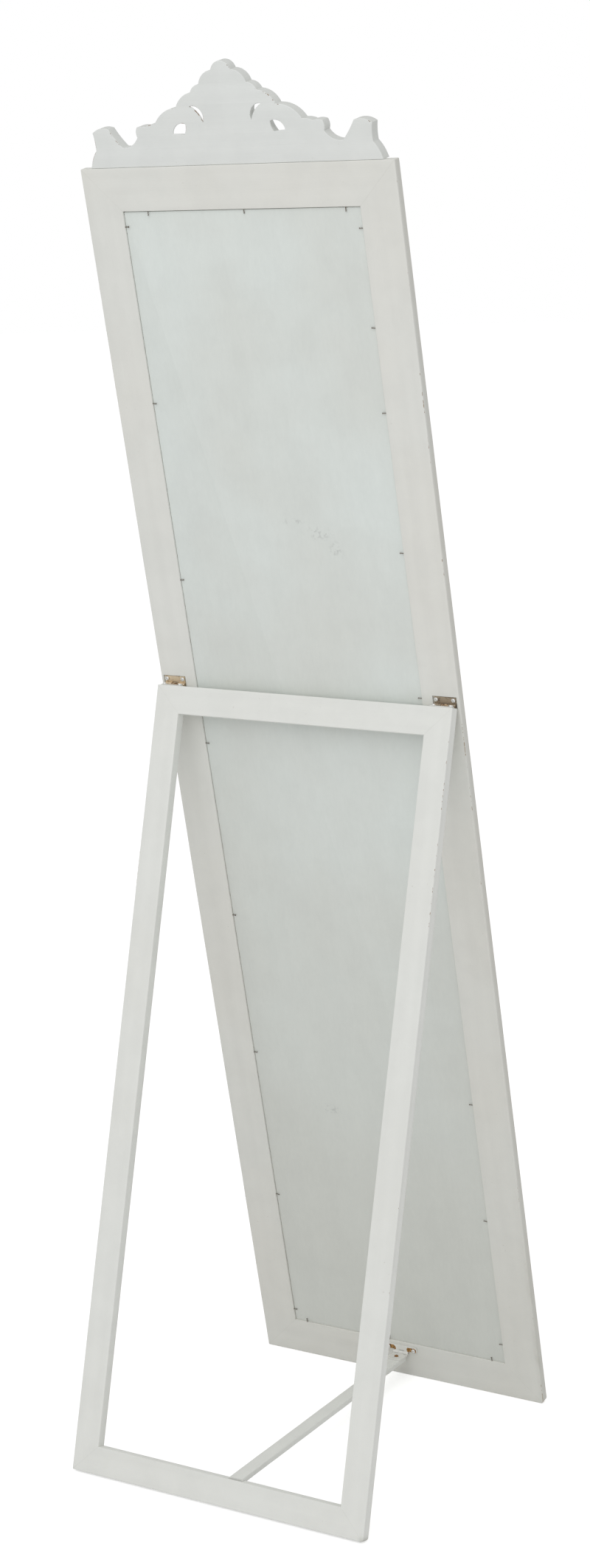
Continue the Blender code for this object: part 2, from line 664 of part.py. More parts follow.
def add_scroll(name, sign, depth):
    """Leaf scroll: a tapering round bead from beside the shell, curling at its outer end."""
    start = CREST_STRETCH @ Vector((30, 28)) * MM
    eye = CREST_STRETCH @ Vector((182, 22)) * MM
    curl = 9 * MM
    steps = 14
    curve = bpy.data.curves.new(name, "CURVE")
    curve.dimensions = "3D"
    curve.bevel_depth = ORNAMENT_THICKNESS / 2
    curve.bevel_resolution = 2
    curve.use_fill_caps = True
    route = []
    for index in range(steps):
        share = index / steps
        rise = math.sin(math.pi * share)
        across = start.x + (eye.x - start.x) * share
        route.append((across, start.y + (eye.y - curl - start.y) * share + 3 * MM * rise, 1.0))
    turns = 10
    for index in range(turns + 1):
        share = index / turns
        angle = math.radians(-90 + 250 * share)
        reach = curl * (1 - 0.35 * share)
        across = eye.x + reach * math.cos(angle)
        route.append((across, eye.y + reach * math.sin(angle), 1 - 0.45 * share))
    spline = curve.splines.new("POLY")
    spline.points.add(len(route) - 1)
    for point, (across, up, thickness) in zip(spline.points, route):
        point.co = (sign * across, 0, up, 1)
        point.radius = thickness
    made = bpy.data.objects.new(name, curve)
    curve.materials.append(PAINT)
    made.parent = MIRROR_FRAME
    made.location = (0, depth, FRAME_HEIGHT)
    PARTS.objects.link(made)


add_crest()


# ---- Stand ----------------------------------------------------------------------------------
def stand_profile(width):
    """Section of a stand member: a plain rectangle with eased long edges."""
    deep = STAND_THICKNESS
    profile = arc((ARRIS, -ARRIS), ARRIS, 180, 90, 2)
    profile += arc((width - ARRIS, -ARRIS), ARRIS, 90, 0, 2)
    profile += arc((width - ARRIS, ARRIS - deep), ARRIS, 0, -90, 2)
    profile += arc((ARRIS, ARRIS - deep), ARRIS, -90, -180, 2)
    return profile


STAND_NAMES = ("stand_stile_left", "stand_stile_right", "stand_rail_top", "stand_rail_bottom")
STAND_BODY = empty("stand_back_plane", (0, STAND_BACK, 0), (0, 0, 0), STAND_FRAME)
stand_left, stand_right, stand_top, stand_bottom = add_frame_members(
    STAND_NAMES,
    stand_profile(STAND_RAIL),
    PAINT,
    STAND_BODY,
    STAND_WIDTH,
    STAND_LENGTH,
    STAND_TOP - STAND_LENGTH,
)


# ---- Hinges ---------------------------------------------------------------------------------
def leaf_outlines(height, lying):
    """Section of a hinge leaf with its knuckle round the origin: plate on the -X side, or on the
    -Y side when lying. The second outline is the pin's hole."""
    inner = LEAF_THICKNESS - KNUCKLE_RADIUS
    join = math.sqrt(KNUCKLE_RADIUS**2 - inner**2)
    start = math.degrees(math.atan2(join, inner))
    outline = [(-KNUCKLE_RADIUS, height), (inner, height)]
    outline += arc((0, 0), KNUCKLE_RADIUS, start, -180, ROUND_STEPS - 2)
    hole = arc((0, 0), PIN_RADIUS + PIN_CLEARANCE, 0, 360, ROUND_STEPS)[:-1]
    if lying:
        outline = [(up, across) for across, up in outline]
        hole = [(up, across) for across, up in hole]
    return [outline, hole]


def leaf_piece(name, width, height, lying, finish, parent, location):
    """A hinge leaf of this width, its pin axis along X."""
    mesh = outline_mesh(name, leaf_outlines(height, lying), width)
    mesh.transform(CROSSWAYS)
    return add_piece(name, mesh, finish, parent, location)


def clear_knuckles(leaf, spans, lying, parent, location):
    """Removes a leaf's knuckle, and the plate beside it, over spans of X round its middle."""
    below = KNUCKLE_RADIUS + OVERCUT
    above = KNUCKLE_RADIUS + GAP
    for number, (low, high) in enumerate(spans, 1):
        corner = (low, -below, -below)
        opposite = (high, above, below) if lying else (high, below, above)
        name = f"knuckle_gap_{leaf.name}_{number}"
        cut(leaf, box_mesh(name, corner, opposite), name, parent, location)


def pin_piece(name, length, parent, location):
    """A hinge pin along X with eased ends."""
    half = length / 2
    chamfer = 0.3 * MM
    profile = [
        (0, half),
        (PIN_RADIUS - chamfer, half),
        (PIN_RADIUS, half - chamfer),
        (PIN_RADIUS, chamfer - half),
        (PIN_RADIUS - chamfer, -half),
        (0, -half),
    ]
    turned(name, profile, BRASS, parent, location, (0, QUARTER_TURN, 0))


def add_butt_hinge(side, sign, frame_stile, stand_stile):
    """A small butt hinge: one leaf in a pocket of the mirror's stile, one on the stand's top."""
    across = sign * BUTT_CENTRE
    half = BUTT_WIDTH / 2
    middle = BUTT_WIDTH / 6
    place = (across, BUTT_AXIS_OFFSET, STAND_HINGE_HEIGHT)
    on_stand = (across, 0, 0)

    frame_leaf = leaf_piece(
        f"frame_leaf_{side}", BUTT_WIDTH, LEAF_HEIGHT, False, BRASS, MIRROR_FRAME, place
    )
    clear_knuckles(frame_leaf, [(-middle, middle)], False, MIRROR_FRAME, place)
    stand_leaf = leaf_piece(
        f"stand_leaf_{side}", BUTT_WIDTH, LEAF_HEIGHT, True, BRASS, STAND_FRAME, on_stand
    )
    kept = middle - GAP
    ends = [(-half - OVERCUT, -kept), (kept, half + OVERCUT)]
    clear_knuckles(stand_leaf, ends, True, STAND_FRAME, on_stand)
    pin_piece(f"butt_pin_{side}", BUTT_WIDTH - 2 * GAP, MIRROR_FRAME, place)

    pocket_floor = BUTT_AXIS_OFFSET - KNUCKLE_RADIUS - GAP
    reach = half + POCKET_MARGIN
    pocket = box_mesh(
        "pocket",
        (-reach, pocket_floor, -KNUCKLE_RADIUS - POCKET_MARGIN),
        (reach, OVERCUT, LEAF_HEIGHT + POCKET_MARGIN / 2),
    )
    cut(
        frame_stile,
        pocket,
        f"hinge_pocket_{side}",
        MIRROR_FRAME,
        (across, 0, STAND_HINGE_HEIGHT),
    )

    screw_shift = sign * (half - SCREW_INSET)
    shifts = {"outer": screw_shift, "inner": -screw_shift}
    for which, shift in shifts.items():
        where = (
            across + shift,
            BUTT_AXIS_OFFSET + LEAF_FACE + GAP,
            STAND_HINGE_HEIGHT + SCREW_HEIGHT,
        )
        screw_piece(f"frame_screw_{side}_{which}", MIRROR_FRAME, where, (-QUARTER_TURN, 0, 0))
        hole = rod_mesh("screw_hole", SCREW_HOLE_RADIUS, -SCREW_LENGTH - GAP, OVERCUT)
        for target in (frame_leaf, frame_stile):
            name = f"screw_hole_{side}_{which}_{target.name}"
            cut(target, hole, name, MIRROR_FRAME, where, (-QUARTER_TURN, 0, 0))
        where = (across + shift, SCREW_HEIGHT, LEAF_FACE + GAP)
        screw_piece(f"stand_screw_{side}_{which}", STAND_FRAME, where, (0, 0, 0))
        for target in (stand_leaf, stand_top, stand_stile):
            name = f"screw_hole_{side}_{which}_{target.name}"
            cut(target, hole, name, STAND_FRAME, where)


add_butt_hinge("left", 1, stile_left, stand_left)
add_butt_hinge("right", -1, stile_right, stand_right)


# ---- Brace ----------------------------------------------------------------------------------
def add_brace():
    """Bar with its peg, and the housing and mortice that they drop into."""
    half = BRACE_WIDTH / 2
    bar_low = BAR_TOP - BRACE_THICKNESS
    bar = box_mesh("brace_bar", (-half, BRACE_NEAR_END, bar_low), (half, BAR_END, BAR_TOP))
    bar = add_piece("brace_bar", bar, PAINT, BAR_FRAME)

    peg_where = (0, PEG_PLACE, 0)
    peg_top, peg_low = BAR_TOP - GAP, bar_low - PEG_DROP
    profile = [
        (0, peg_top),
        (PEG_RADIUS, peg_top),
        (PEG_RADIUS, peg_low + 0.8 * MM),
        (PEG_RADIUS - 0.8 * MM, peg_low),
        (0, peg_low),
    ]
    turned("brace_peg", profile, RAW_WOOD, BAR_FRAME, peg_where)
    hole_radius = PEG_RADIUS + HOLE_CLEARANCE
    hole = rod_mesh("peg_hole", hole_radius, bar_low - OVERCUT, OVERCUT)
    cut(bar, hole, "peg_hole_bar", BAR_FRAME, peg_where)

    beside = half + HOUSING_CLEARANCE
    across_rail = 2 * STAND_THICKNESS
    housing = box_mesh(
        "housing",
        (-beside, BRACE_REACH - across_rail, bar_low - GAP),
        (beside, BRACE_REACH + across_rail / 2, STAND_RAIL),
    )
    cut(stand_bottom, housing, "brace_housing", BAR_FRAME)
    mortice = box_mesh(
        "mortice",
        (-hole_radius, PEG_PLACE - hole_radius, peg_low - 2 * GAP),
        (hole_radius, PEG_PLACE + hole_radius + PEG_TRAVEL, bar_low + GAP),
    )
    cut(stand_bottom, mortice, "peg_mortice", BAR_FRAME)
    return bar


def add_t_hinge(bar):
    """T hinge: a cross plate screwed to the mirror's bottom rail and a strap on the bar."""
    place = (BRACE_OFFSET, KNUCKLE_RADIUS + GAP, BRACE_HINGE_HEIGHT)
    half_cross = CROSS_WIDTH / 2
    half_strap = STRAP_WIDTH / 2
    middle = STRAP_WIDTH / 6
    cross = leaf_piece(
        "t_hinge_cross", CROSS_WIDTH, LEAF_HEIGHT, False, BRASS, MIRROR_FRAME, place
    )
    gaps = [
        (-half_cross - OVERCUT, -half_strap),
        (-middle, middle),
        (half_strap, half_cross + OVERCUT),
    ]
    clear_knuckles(cross, gaps, False, MIRROR_FRAME, place)
    strap = leaf_piece(
        "t_hinge_strap", STRAP_WIDTH, STRAP_LENGTH, True, BRASS, BRACE_FRAME, (0, 0, 0)
    )
    kept = middle - GAP
    ends = [(-half_strap - OVERCUT, -kept), (kept, half_strap + OVERCUT)]
    clear_knuckles(strap, ends, True, BRACE_FRAME, (0, 0, 0))
    pin_piece("t_hinge_pin", STRAP_WIDTH - 2 * GAP, MIRROR_FRAME, place)

    for side, sign in (("left", 1), ("right", -1)):
        where = (
            BRACE_OFFSET + sign * (half_cross - CROSS_SCREW_INSET),
            place[1] + LEAF_FACE + GAP,
            BRACE_HINGE_HEIGHT + CROSS_SCREW_HEIGHT,
        )
        screw_piece(f"t_hinge_screw_{side}", MIRROR_FRAME, where, (-QUARTER_TURN, 0, 0))
        hole = rod_mesh("screw_hole", SCREW_HOLE_RADIUS, -SCREW_LENGTH - GAP, OVERCUT)
        for target in (cross, rail_bottom):
            name = f"t_screw_hole_{side}_{target.name}"
            cut(target, hole, name, MIRROR_FRAME, where, (-QUARTER_TURN, 0, 0))
    where = (0, STRAP_SCREW_PLACE, LEAF_FACE + GAP)
    length = LEAF_THICKNESS + BRACE_THICKNESS - GAP
    screw_piece("strap_screw", BRACE_FRAME, where, (0, 0, 0), length)
    hole = rod_mesh("strap_hole", SCREW_HOLE_RADIUS, -2 * length, OVERCUT)
    for target in (strap, bar):
        cut(target, hole, f"strap_hole_{target.name}", BRACE_FRAME, where)


add_t_hinge(add_brace())

for piece in PARTS.objects:
    if piece.type == "MESH":
        piece.data.shade_smooth()
        piece.data.set_sharp_from_angle(angle=math.radians(35))
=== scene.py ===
"""Looks of an easel-backed cheval floor mirror: white painted timber with a carved crest, a hinged
rear stand and a prop brace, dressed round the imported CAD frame.

Every new piece is a surface worked out with numpy in one of three local frames, mirror, stand or
brace, and then placed in the row frame. In a local frame X runs across, Y out of the back and Z up
the member. Lengths are in metres.
"""

import logging
import math
from collections.abc import Callable, Iterable, Sequence
from dataclasses import dataclass, field
from enum import Enum
from typing import Any

import bmesh
import bpy
import numpy as np
from mathutils import Matrix, Vector
from mathutils.geometry import tessellate_polygon


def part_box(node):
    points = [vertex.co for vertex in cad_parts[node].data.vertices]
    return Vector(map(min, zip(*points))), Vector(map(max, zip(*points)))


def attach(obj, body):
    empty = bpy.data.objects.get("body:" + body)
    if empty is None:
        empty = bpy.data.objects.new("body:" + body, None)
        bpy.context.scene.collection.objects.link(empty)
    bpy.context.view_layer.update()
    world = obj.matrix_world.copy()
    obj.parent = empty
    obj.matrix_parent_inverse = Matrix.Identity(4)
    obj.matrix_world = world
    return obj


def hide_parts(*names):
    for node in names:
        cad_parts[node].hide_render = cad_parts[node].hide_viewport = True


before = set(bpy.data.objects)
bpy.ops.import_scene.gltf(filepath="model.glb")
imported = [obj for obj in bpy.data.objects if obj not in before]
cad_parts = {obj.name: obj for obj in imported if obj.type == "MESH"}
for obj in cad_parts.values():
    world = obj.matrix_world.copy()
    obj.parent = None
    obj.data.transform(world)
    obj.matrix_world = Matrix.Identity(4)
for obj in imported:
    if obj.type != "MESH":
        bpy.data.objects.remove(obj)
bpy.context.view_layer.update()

log = logging.getLogger("cheval_floor_mirror")
logging.basicConfig(level=logging.INFO, format="%(name)s: %(message)s")

MM = 0.001
MIRROR_LEAN = math.radians(12.5)
STAND_SPREAD = math.radians(14.1)
BRACE_SLOPE = math.radians(0.772)
BRACE_SKEW = math.radians(2.65)

Array = np.ndarray
Colour = tuple[float, float, float]
Point = tuple[float, float, float]


class Anchor(Enum):
    """Which end of a CAD node's local box is the zero of an axis."""

    LOW = 0.0
    MIDDLE = 0.5
    HIGH = 1.0


class Axis(Enum):
    """The local direction in which a turned piece points."""

    ACROSS = (1.0, 0.0, 0.0)
    BACK_ACROSS = (-1.0, 0.0, 0.0)
    OUT = (0.0, 1.0, 0.0)
    UP = (0.0, 0.0, 1.0)
    DOWN = (0.0, 0.0, -1.0)


class Side(Enum):
    """A member's place in a rectangular frame, with its outward direction across and up."""

    LEFT = (1, 0)
    RIGHT = (-1, 0)
    TOP = (0, 1)
    BOTTOM = (0, -1)


# ---- Local frames and meshes ----------------------------------------------------------------
@dataclass(frozen=True)
class LocalFrame:
    """A local frame of the mirror: a turn and an origin in the row frame."""

    turn: Array
    origin: Array

    @staticmethod
    def on(turn: Matrix, node: str, anchors: Sequence[Anchor]) -> "LocalFrame":
        """A local frame with its zero on a CAD node.

        Args:
            turn: rotation from the local to the row frame.
            node: CAD node that the frame is tied to.
            anchors: for each local axis, the end of the node's box that lies at zero.

        Returns:
            The frame. Its origin is the turned point low + anchor * (high - low).
        """
        matrix = np.array(turn.to_3x3(), float)
        low, high = LocalFrame(matrix, np.zeros(3)).box(node)
        share = np.array([anchor.value for anchor in anchors])
        return LocalFrame(matrix, matrix @ (low + share * (high - low)))

    def place(self, points: Array) -> Array:
        """Local points in the row frame."""
        return points @ self.turn.T + self.origin

    def box(self, node: str) -> tuple[Array, Array]:
        """Lowest and highest local corner of a CAD node at rest."""
        local = (vertices(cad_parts[node].data) - self.origin) @ self.turn
        return local.min(0), local.max(0)


def vertices(mesh: bpy.types.Mesh) -> Array:
    """A mesh's vertices, (count, 3)."""
    flat = np.empty(len(mesh.vertices) * 3)
    mesh.vertices.foreach_get("co", flat)
    return flat.reshape(-1, 3)


MIRROR = LocalFrame.on(
    Matrix.Rotation(-MIRROR_LEAN, 4, "X"),
    "mirror_rail_bottom",
    (Anchor.MIDDLE, Anchor.HIGH, Anchor.LOW),
)
STAND = LocalFrame.on(
    Matrix.Rotation(STAND_SPREAD, 4, "X"),
    "stand_rail_bottom",
    (Anchor.MIDDLE, Anchor.HIGH, Anchor.LOW),
)
BRACE = LocalFrame.on(
    Matrix.Rotation(BRACE_SLOPE, 4, "X") @ Matrix.Rotation(BRACE_SKEW, 4, "Z"),
    "brace_bar",
    (Anchor.MIDDLE, Anchor.LOW, Anchor.HIGH),
)


def linked(name: str, mesh: bpy.types.Mesh) -> bpy.types.Object:
    """A new object in the scene."""
    made = bpy.data.objects.new(name, mesh)
    bpy.context.scene.collection.objects.link(made)
    return made


@dataclass
class Shell:
    """Surface patches gathered into one closed mesh, with a UV in metres and masks by vertex."""

    points: list[Array] = field(default_factory=list)
    uvs: list[Array] = field(default_factory=list)
    masks: dict[str, list[Array]] = field(default_factory=dict)
    faces: list[list[int]] = field(default_factory=list)
    count: int = 0

    def loft(self, rings: Array, uv: Array, caps: bool = True, **masks: Array) -> None:
        """Adds a surface through closed rings of points.

        Args:
            rings: (stations, points in a ring, 3). Each ring is closed on itself.
            uv: (stations, points, 2), metres along and across the grain.
            caps: closes the first and the last ring with a face.
            masks: named values from 0 to 1, for each point or each station or both.
        """
        size = rings.shape[:2]
        index = self.count + np.arange(size[0] * size[1]).reshape(size)
        beside = np.roll(index, -1, axis=1)
        self.faces += join(index[:-1], beside[:-1], beside[1:], index[1:]).reshape(-1, 4).tolist()
        if caps:
            self.faces += [index[0][::-1].tolist(), index[-1].tolist()]
        self.points.append(rings.reshape(-1, 3))
        self.uvs.append(uv.reshape(-1, 2))
        for name in sorted(set(masks) | set(self.masks)):
            stored = self.masks.setdefault(name, [np.zeros(self.count)] if self.count else [])
            stored.append(np.broadcast_to(masks.get(name, 0.0), size).ravel())
        self.count += index.size

    def fill(self, loops: Sequence[Array]) -> None:
        """Adds a flat face, made of triangles, inside the first loop of vertices and outside the
        others. Each loop lists indices of points already added."""
        stored = np.concatenate(self.points)
        outlines = [[Vector(stored[i]) for i in loop] for loop in loops]
        self.faces += np.concatenate(loops)[np.array(tessellate_polygon(outlines))].tolist()

    def build(self, name: str, local: LocalFrame, smooth: float = 40.0) -> bpy.types.Object:
        """Makes the object.

        Args:
            name: name of the piece.
            local: the local frame that the points are in.
            smooth: edges sharper than this many degrees stay sharp.

        Returns:
            The new object at the origin, its normals pointing out.
        """
        mesh = bpy.data.meshes.new(name)
        mesh.from_pydata(local.place(np.concatenate(self.points)), [], self.faces)
        for mask, values in self.masks.items():
            attribute = mesh.attributes.new(mask, "FLOAT", "POINT")
            attribute.data.foreach_set("value", np.concatenate(values).astype(np.float32))
        corners = np.empty(len(mesh.loops), np.int32)
        mesh.loops.foreach_get("vertex_index", corners)
        layer = mesh.uv_layers.new(name="grain")
        layer.data.foreach_set("uv", np.concatenate(self.uvs)[corners].ravel())
        bm = bmesh.new()
        bm.from_mesh(mesh)
        bmesh.ops.recalc_face_normals(bm, faces=bm.faces)
        bm.to_mesh(mesh)
        bm.free()
        mesh.shade_smooth()
        mesh.set_sharp_from_angle(angle=math.radians(smooth))
        return linked(name, mesh)


def carve(target: bpy.types.Object, cutters: Iterable[bpy.types.Object]) -> None:
    """Takes closed cutters out of a piece. New walls get the piece's second finish."""
    for cutter in cutters:
        boolean = target.modifiers.new("carve", "BOOLEAN")
        boolean.operation = "DIFFERENCE"
        boolean.solver = "EXACT"
        boolean.object = cutter
        graph = bpy.context.evaluated_depsgraph_get()
        cut = bpy.data.meshes.new_from_object(target.evaluated_get(graph))
        target.modifiers.clear()
        target.data = cut
        bpy.data.objects.remove(cutter)


def block(
    name: str, local: LocalFrame, low: Array, high: Array, slope: float = 0.0
) -> bpy.types.Object:
    """A box cutter whose faces carry finish number 1.

    Args:
        name: name of the cutter.
        local: the local frame of its corners.
        low: lowest corner.
        high: highest corner.
        slope: how far the far face moves back along Y for each metre up from low.

    Returns:
        The cutter.
    """
    bm = bmesh.new()
    bmesh.ops.create_cube(bm, size=1.0)
    mesh = bpy.data.meshes.new(name)
    bm.to_mesh(mesh)
    bm.free()
    corners = vertices(mesh) + 0.5
    points = low + corners * (high - low)
    points[:, 1] -= slope * corners[:, 1] * (points[:, 2] - low[2])
    mesh.vertices.foreach_set("co", local.place(points).ravel())
    for _ in range(2):
        mesh.materials.append(None)
    mesh.polygons.foreach_set("material_index", np.ones(len(mesh.polygons), np.int32))
    return linked(name, mesh)


def finish_piece(
    piece: bpy.types.Object, body: str, looks: Sequence["Look"], nodes: Sequence[str]
) -> None:
    """Gives a new piece its finishes and body, and hides the CAD nodes it stands for."""
    piece.data.materials.clear()
    for look in looks:
        piece.data.materials.append(look.material())
    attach(piece, body)
    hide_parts(*nodes)
    log.info("%s: %d faces on %s", piece.name, len(piece.data.polygons), body)


def dress_node(name: str, look: "Look") -> None:
    """Gives a CAD node that keeps its shape a better finish."""
    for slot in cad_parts[name].material_slots:
        slot.material = look.material()
    log.info("%s: kept from the CAD, dressed in %s", name, look.name)


# ---- Profiles and paths ---------------------------------------------------------------------
def join(*coordinates: Any) -> Array:
    """Coordinates made the same shape and put side by side in a last axis."""
    return np.stack(np.broadcast_arrays(*coordinates), -1)


def arc(centre: tuple[float, float], radius: float, start: float, end: float, steps: int) -> Array:
    """Points on an arc: centre + radius * (cos a, sin a), a from start to end degrees."""
    angle = np.radians(np.linspace(start, end, steps + 1))
    return np.array(centre) + radius * join(np.cos(angle), np.sin(angle))


def refine(outline: Array, longest: float) -> Array:
    """Adds even points to a closed outline so that no step is longer than a given length: the
    points p + k/n * (next - p) between the old ones, n = ceil(step / longest)."""
    following = np.roll(outline, -1, axis=0)
    pieces = np.maximum(1, np.ceil(np.linalg.norm(following - outline, axis=1) / longest))
    return np.concatenate(
        [
            a + np.linspace(0, 1, int(n), endpoint=False)[:, None] * (b - a)
            for a, b, n in zip(outline, following, pieces)
        ]
    )


def bowed(start: Array, end: Array, bulge: float, steps: int) -> Array:
    """Points from start to end, start left out, on an arc that bulges to the left of its way.

    The arc through both ends with sagitta b has radius (h^2 + b^2) / 2b, h half the chord, and
    its points are the start turned about the centre in equal steps.
    """
    start, end = np.asarray(start, float), np.asarray(end, float)
    if abs(bulge) < 0.01 * MM:
        return end[None]
    chord = end - start
    half = np.linalg.norm(chord) / 2
    radius = (half**2 + bulge**2) / (2 * abs(bulge))
    side = np.array([-chord[1], chord[0]]) / (2 * half) * math.copysign(1, bulge)
    centre = (start + end) / 2 - side * (radius - abs(bulge))
    sweep = -math.copysign(2 * math.asin(min(1.0, half / radius)), bulge)
    if abs(bulge) > half:
        sweep = -math.copysign(2 * math.pi, bulge) - sweep
    angle = sweep * np.arange(1, steps + 1) / steps
    x, y = start - centre
    cos, sin = np.cos(angle), np.sin(angle)
    return centre + join(x * cos - y * sin, x * sin + y * cos)


def outline_of(start: tuple[float, float], steps: Iterable[tuple], fine: int) -> Array:
    """An outline in millimetres carried through arcs: each step is (end, bulge outwards)."""
    points = [np.array([start], float) * MM]
    for end, bulge in steps:
        points.append(bowed(points[-1][-1], np.array(end) * MM, bulge * MM, fine))
    return np.concatenate(points)


def running_length(outline: Array) -> Array:
    """Length along an outline at each of its points."""
    return np.concatenate(([0.0], np.cumsum(np.linalg.norm(np.diff(outline, axis=0), axis=1))))


def unit_normal(tangent: Array) -> Array:
    """The tangents of a path at unit length, turned a quarter turn to the left."""
    tangent = tangent / np.linalg.norm(tangent, axis=1, keepdims=True)
    return join(-tangent[:, 1], tangent[:, 0])


def ripple(*coordinates: Array, seed: float = 0.0) -> Array:
    """A smooth hand-made unevenness from -1 to 1: a mean of sines with unlike wavelengths."""
    waves = (17.0, 41.0, 97.0, 173.0)
    total = 0.0
    for number, wave in enumerate(waves):
        phase = seed + 1.7 * number
        for order, coordinate in enumerate(coordinates):
            phase = phase + coordinate * wave * (1.0 + 0.37 * order)
        total = total + np.sin(phase) / len(waves)
    return total


def near(value: Array, target: float, width: float) -> Array:
    """A soft bump: 1 where value is the target, falling as exp(-(distance / width)^2)."""
    return np.exp(-(((value - target) / width) ** 2))


def smooth_step(value: Array, low: float, high: float) -> Array:
    """0 below low, 1 above high, and 3t^2 - 2t^3 between them."""
    t = np.clip((value - low) / (high - low), 0, 1)
    return t * t * (3 - 2 * t)


# ---- Shader graphs --------------------------------------------------------------------------
Socket = bpy.types.NodeSocket


@dataclass
class Graph:
    """A node tree that is being wired."""

    tree: bpy.types.NodeTree

    def feed(self, node: bpy.types.Node, inputs: dict[Any, Any]) -> None:
        """Sets or links a node's inputs, by name or number."""
        for key, value in inputs.items():
            if isinstance(value, Socket):
                self.tree.links.new(value, node.inputs[key])
            else:
                node.inputs[key].default_value = value

    def put(self, kind: str, inputs: dict[Any, Any] | None = None, **settings: Any) -> Any:
        """Adds a node.

        Args:
            kind: shader node type, without its ShaderNode prefix.
            inputs: values or sockets for the node's inputs, by name or number.
            settings: properties of the node.

        Returns:
            The node's outputs.
        """
        node = self.tree.nodes.new("ShaderNode" + kind)
        for key, value in settings.items():
            setattr(node, key, value)
        self.feed(node, inputs or {})
        return node.outputs

    def place(self) -> Socket:
        """Object coordinates."""
        return self.put("TexCoord")["Object"]

    def math(self, operation: str, *values: Any, clamp: bool = False) -> Socket:
        """A Math node of the values, which are numbers or sockets."""
        return self.put("Math", dict(enumerate(values)), operation=operation, use_clamp=clamp)[0]

    def vector(self, operation: str, inputs: dict[Any, Any], output: str = "Vector") -> Socket:
        """A Vector Math node."""
        return self.put("VectorMath", inputs, operation=operation)[output]

    def mix(self, share: Any, a: Any, b: Any, blend: str = "MIX") -> Socket:
        """A colour mix: a where the share is 0, b where it is 1."""
        first, second = ((*v, 1.0) if isinstance(v, tuple) else v for v in (a, b))
        inputs = {0: share, 6: first, 7: second}
        return self.put("Mix", inputs, data_type="RGBA", blend_type=blend)[2]

    def shaded(self, colour: Any, shade: Socket) -> Socket:
        """A colour times a grey."""
        grey = self.put("CombineColor", {0: shade, 1: shade, 2: shade})[0]
        return self.mix(1.0, colour, grey, "MULTIPLY")

    def ramp(self, value: Any, low: float, high: float) -> Socket:
        """A smooth 0 to 1 as the value goes from low to high."""
        return self.put("MapRange", {0: value, 1: low, 2: high}, interpolation_type="SMOOTHSTEP")[0]

    def noise(self, vector: Any, scale: float, detail: float = 3.0, rough: float = 0.55) -> Socket:
        """A noise texture's value on a vector."""
        inputs = {"Vector": vector, "Scale": scale, "Detail": detail, "Roughness": rough}
        return self.put("TexNoise", inputs)["Fac"]

    def stretched(self, vector: Any, *scale: float) -> Socket:
        """A vector scaled by a Mapping node."""
        return self.put("Mapping", {"Vector": vector, "Scale": scale})[0]


@dataclass(frozen=True)
class Effect:
    """A shared effect: a shader node group, built the first time it is wanted.

    An input's default is a number, or a vector, or None for a vector that is always linked.
    """

    name: str
    inputs: dict[str, Any]
    outputs: tuple[str, ...]
    wire: Callable[[Graph, Any], Sequence[Socket]]

    def tree(self) -> bpy.types.NodeTree:
        """The node group."""
        tree = bpy.data.node_groups.get(self.name)
        if tree:
            return tree
        tree = bpy.data.node_groups.new(self.name, "ShaderNodeTree")
        for label, value in self.inputs.items():
            kind = "NodeSocketFloat" if isinstance(value, float) else "NodeSocketVector"
            socket = tree.interface.new_socket(label, in_out="INPUT", socket_type=kind)
            if value is not None:
                socket.default_value = value
        for label in self.outputs:
            tree.interface.new_socket(label, in_out="OUTPUT", socket_type="NodeSocketFloat")
        given, result = (tree.nodes.new("NodeGroup" + end) for end in ("Input", "Output"))
        made = self.wire(Graph(tree), given.outputs)
        Graph(tree).feed(result, dict(zip(self.outputs, made)))
        return tree

    def put(self, graph: Graph, **inputs: Any) -> Any:
        """Places the effect with its own values and gives its outputs."""
        return graph.put("Group", inputs, node_tree=self.tree())


def wire_brushwork(graph: Graph, given: Any) -> Sequence[Socket]:
    """Brush strokes: fine ridges along X of the vector, broken up by slower drags of the brush."""
    split = graph.put("SeparateXYZ", {0: given["Vector"]})
    factors = (given["Drag"], given["Bristle"], given["Bristle"])
    scaled = {i: graph.math("MULTIPLY", split[i], factor) for i, factor in enumerate(factors)}
    fine = graph.put("CombineXYZ", scaled)[0]
    ridges = graph.noise(fine, 1.0, 2.0, 0.6)
    slow = graph.noise(graph.stretched(fine, 0.35, 0.06, 0.06), 1.0, 3.0, 0.5)
    height = graph.math("MULTIPLY_ADD", slow, 1.6, ridges)
    tone = graph.math("MULTIPLY_ADD", graph.math("SUBTRACT", slow, 0.5), 0.6, 0.5)
    return height, graph.math("MULTIPLY_ADD", graph.math("SUBTRACT", ridges, 0.5), 0.25, tone)


def wire_mottling(graph: Graph, given: Any) -> Sequence[Socket]:
    """Cloudy unevenness in a coat: slow clouds, small blotches and sparse specks."""
    sized = graph.vector("SCALE", {0: given["Vector"], "Scale": given["Scale"]})
    specks = graph.ramp(graph.noise(sized, 61.0, 2.0, 0.5), 0.70, 0.78)
    sparse = graph.ramp(graph.noise(sized, 2.1, 2.0, 0.5), 0.50, 0.66)
    return (
        graph.ramp(graph.noise(sized, 1.0, 3.0, 0.5), 0.32, 0.68),
        graph.ramp(graph.noise(sized, 5.3, 4.0, 0.6), 0.4, 0.66),
        graph.math("MULTIPLY", specks, sparse),
    )


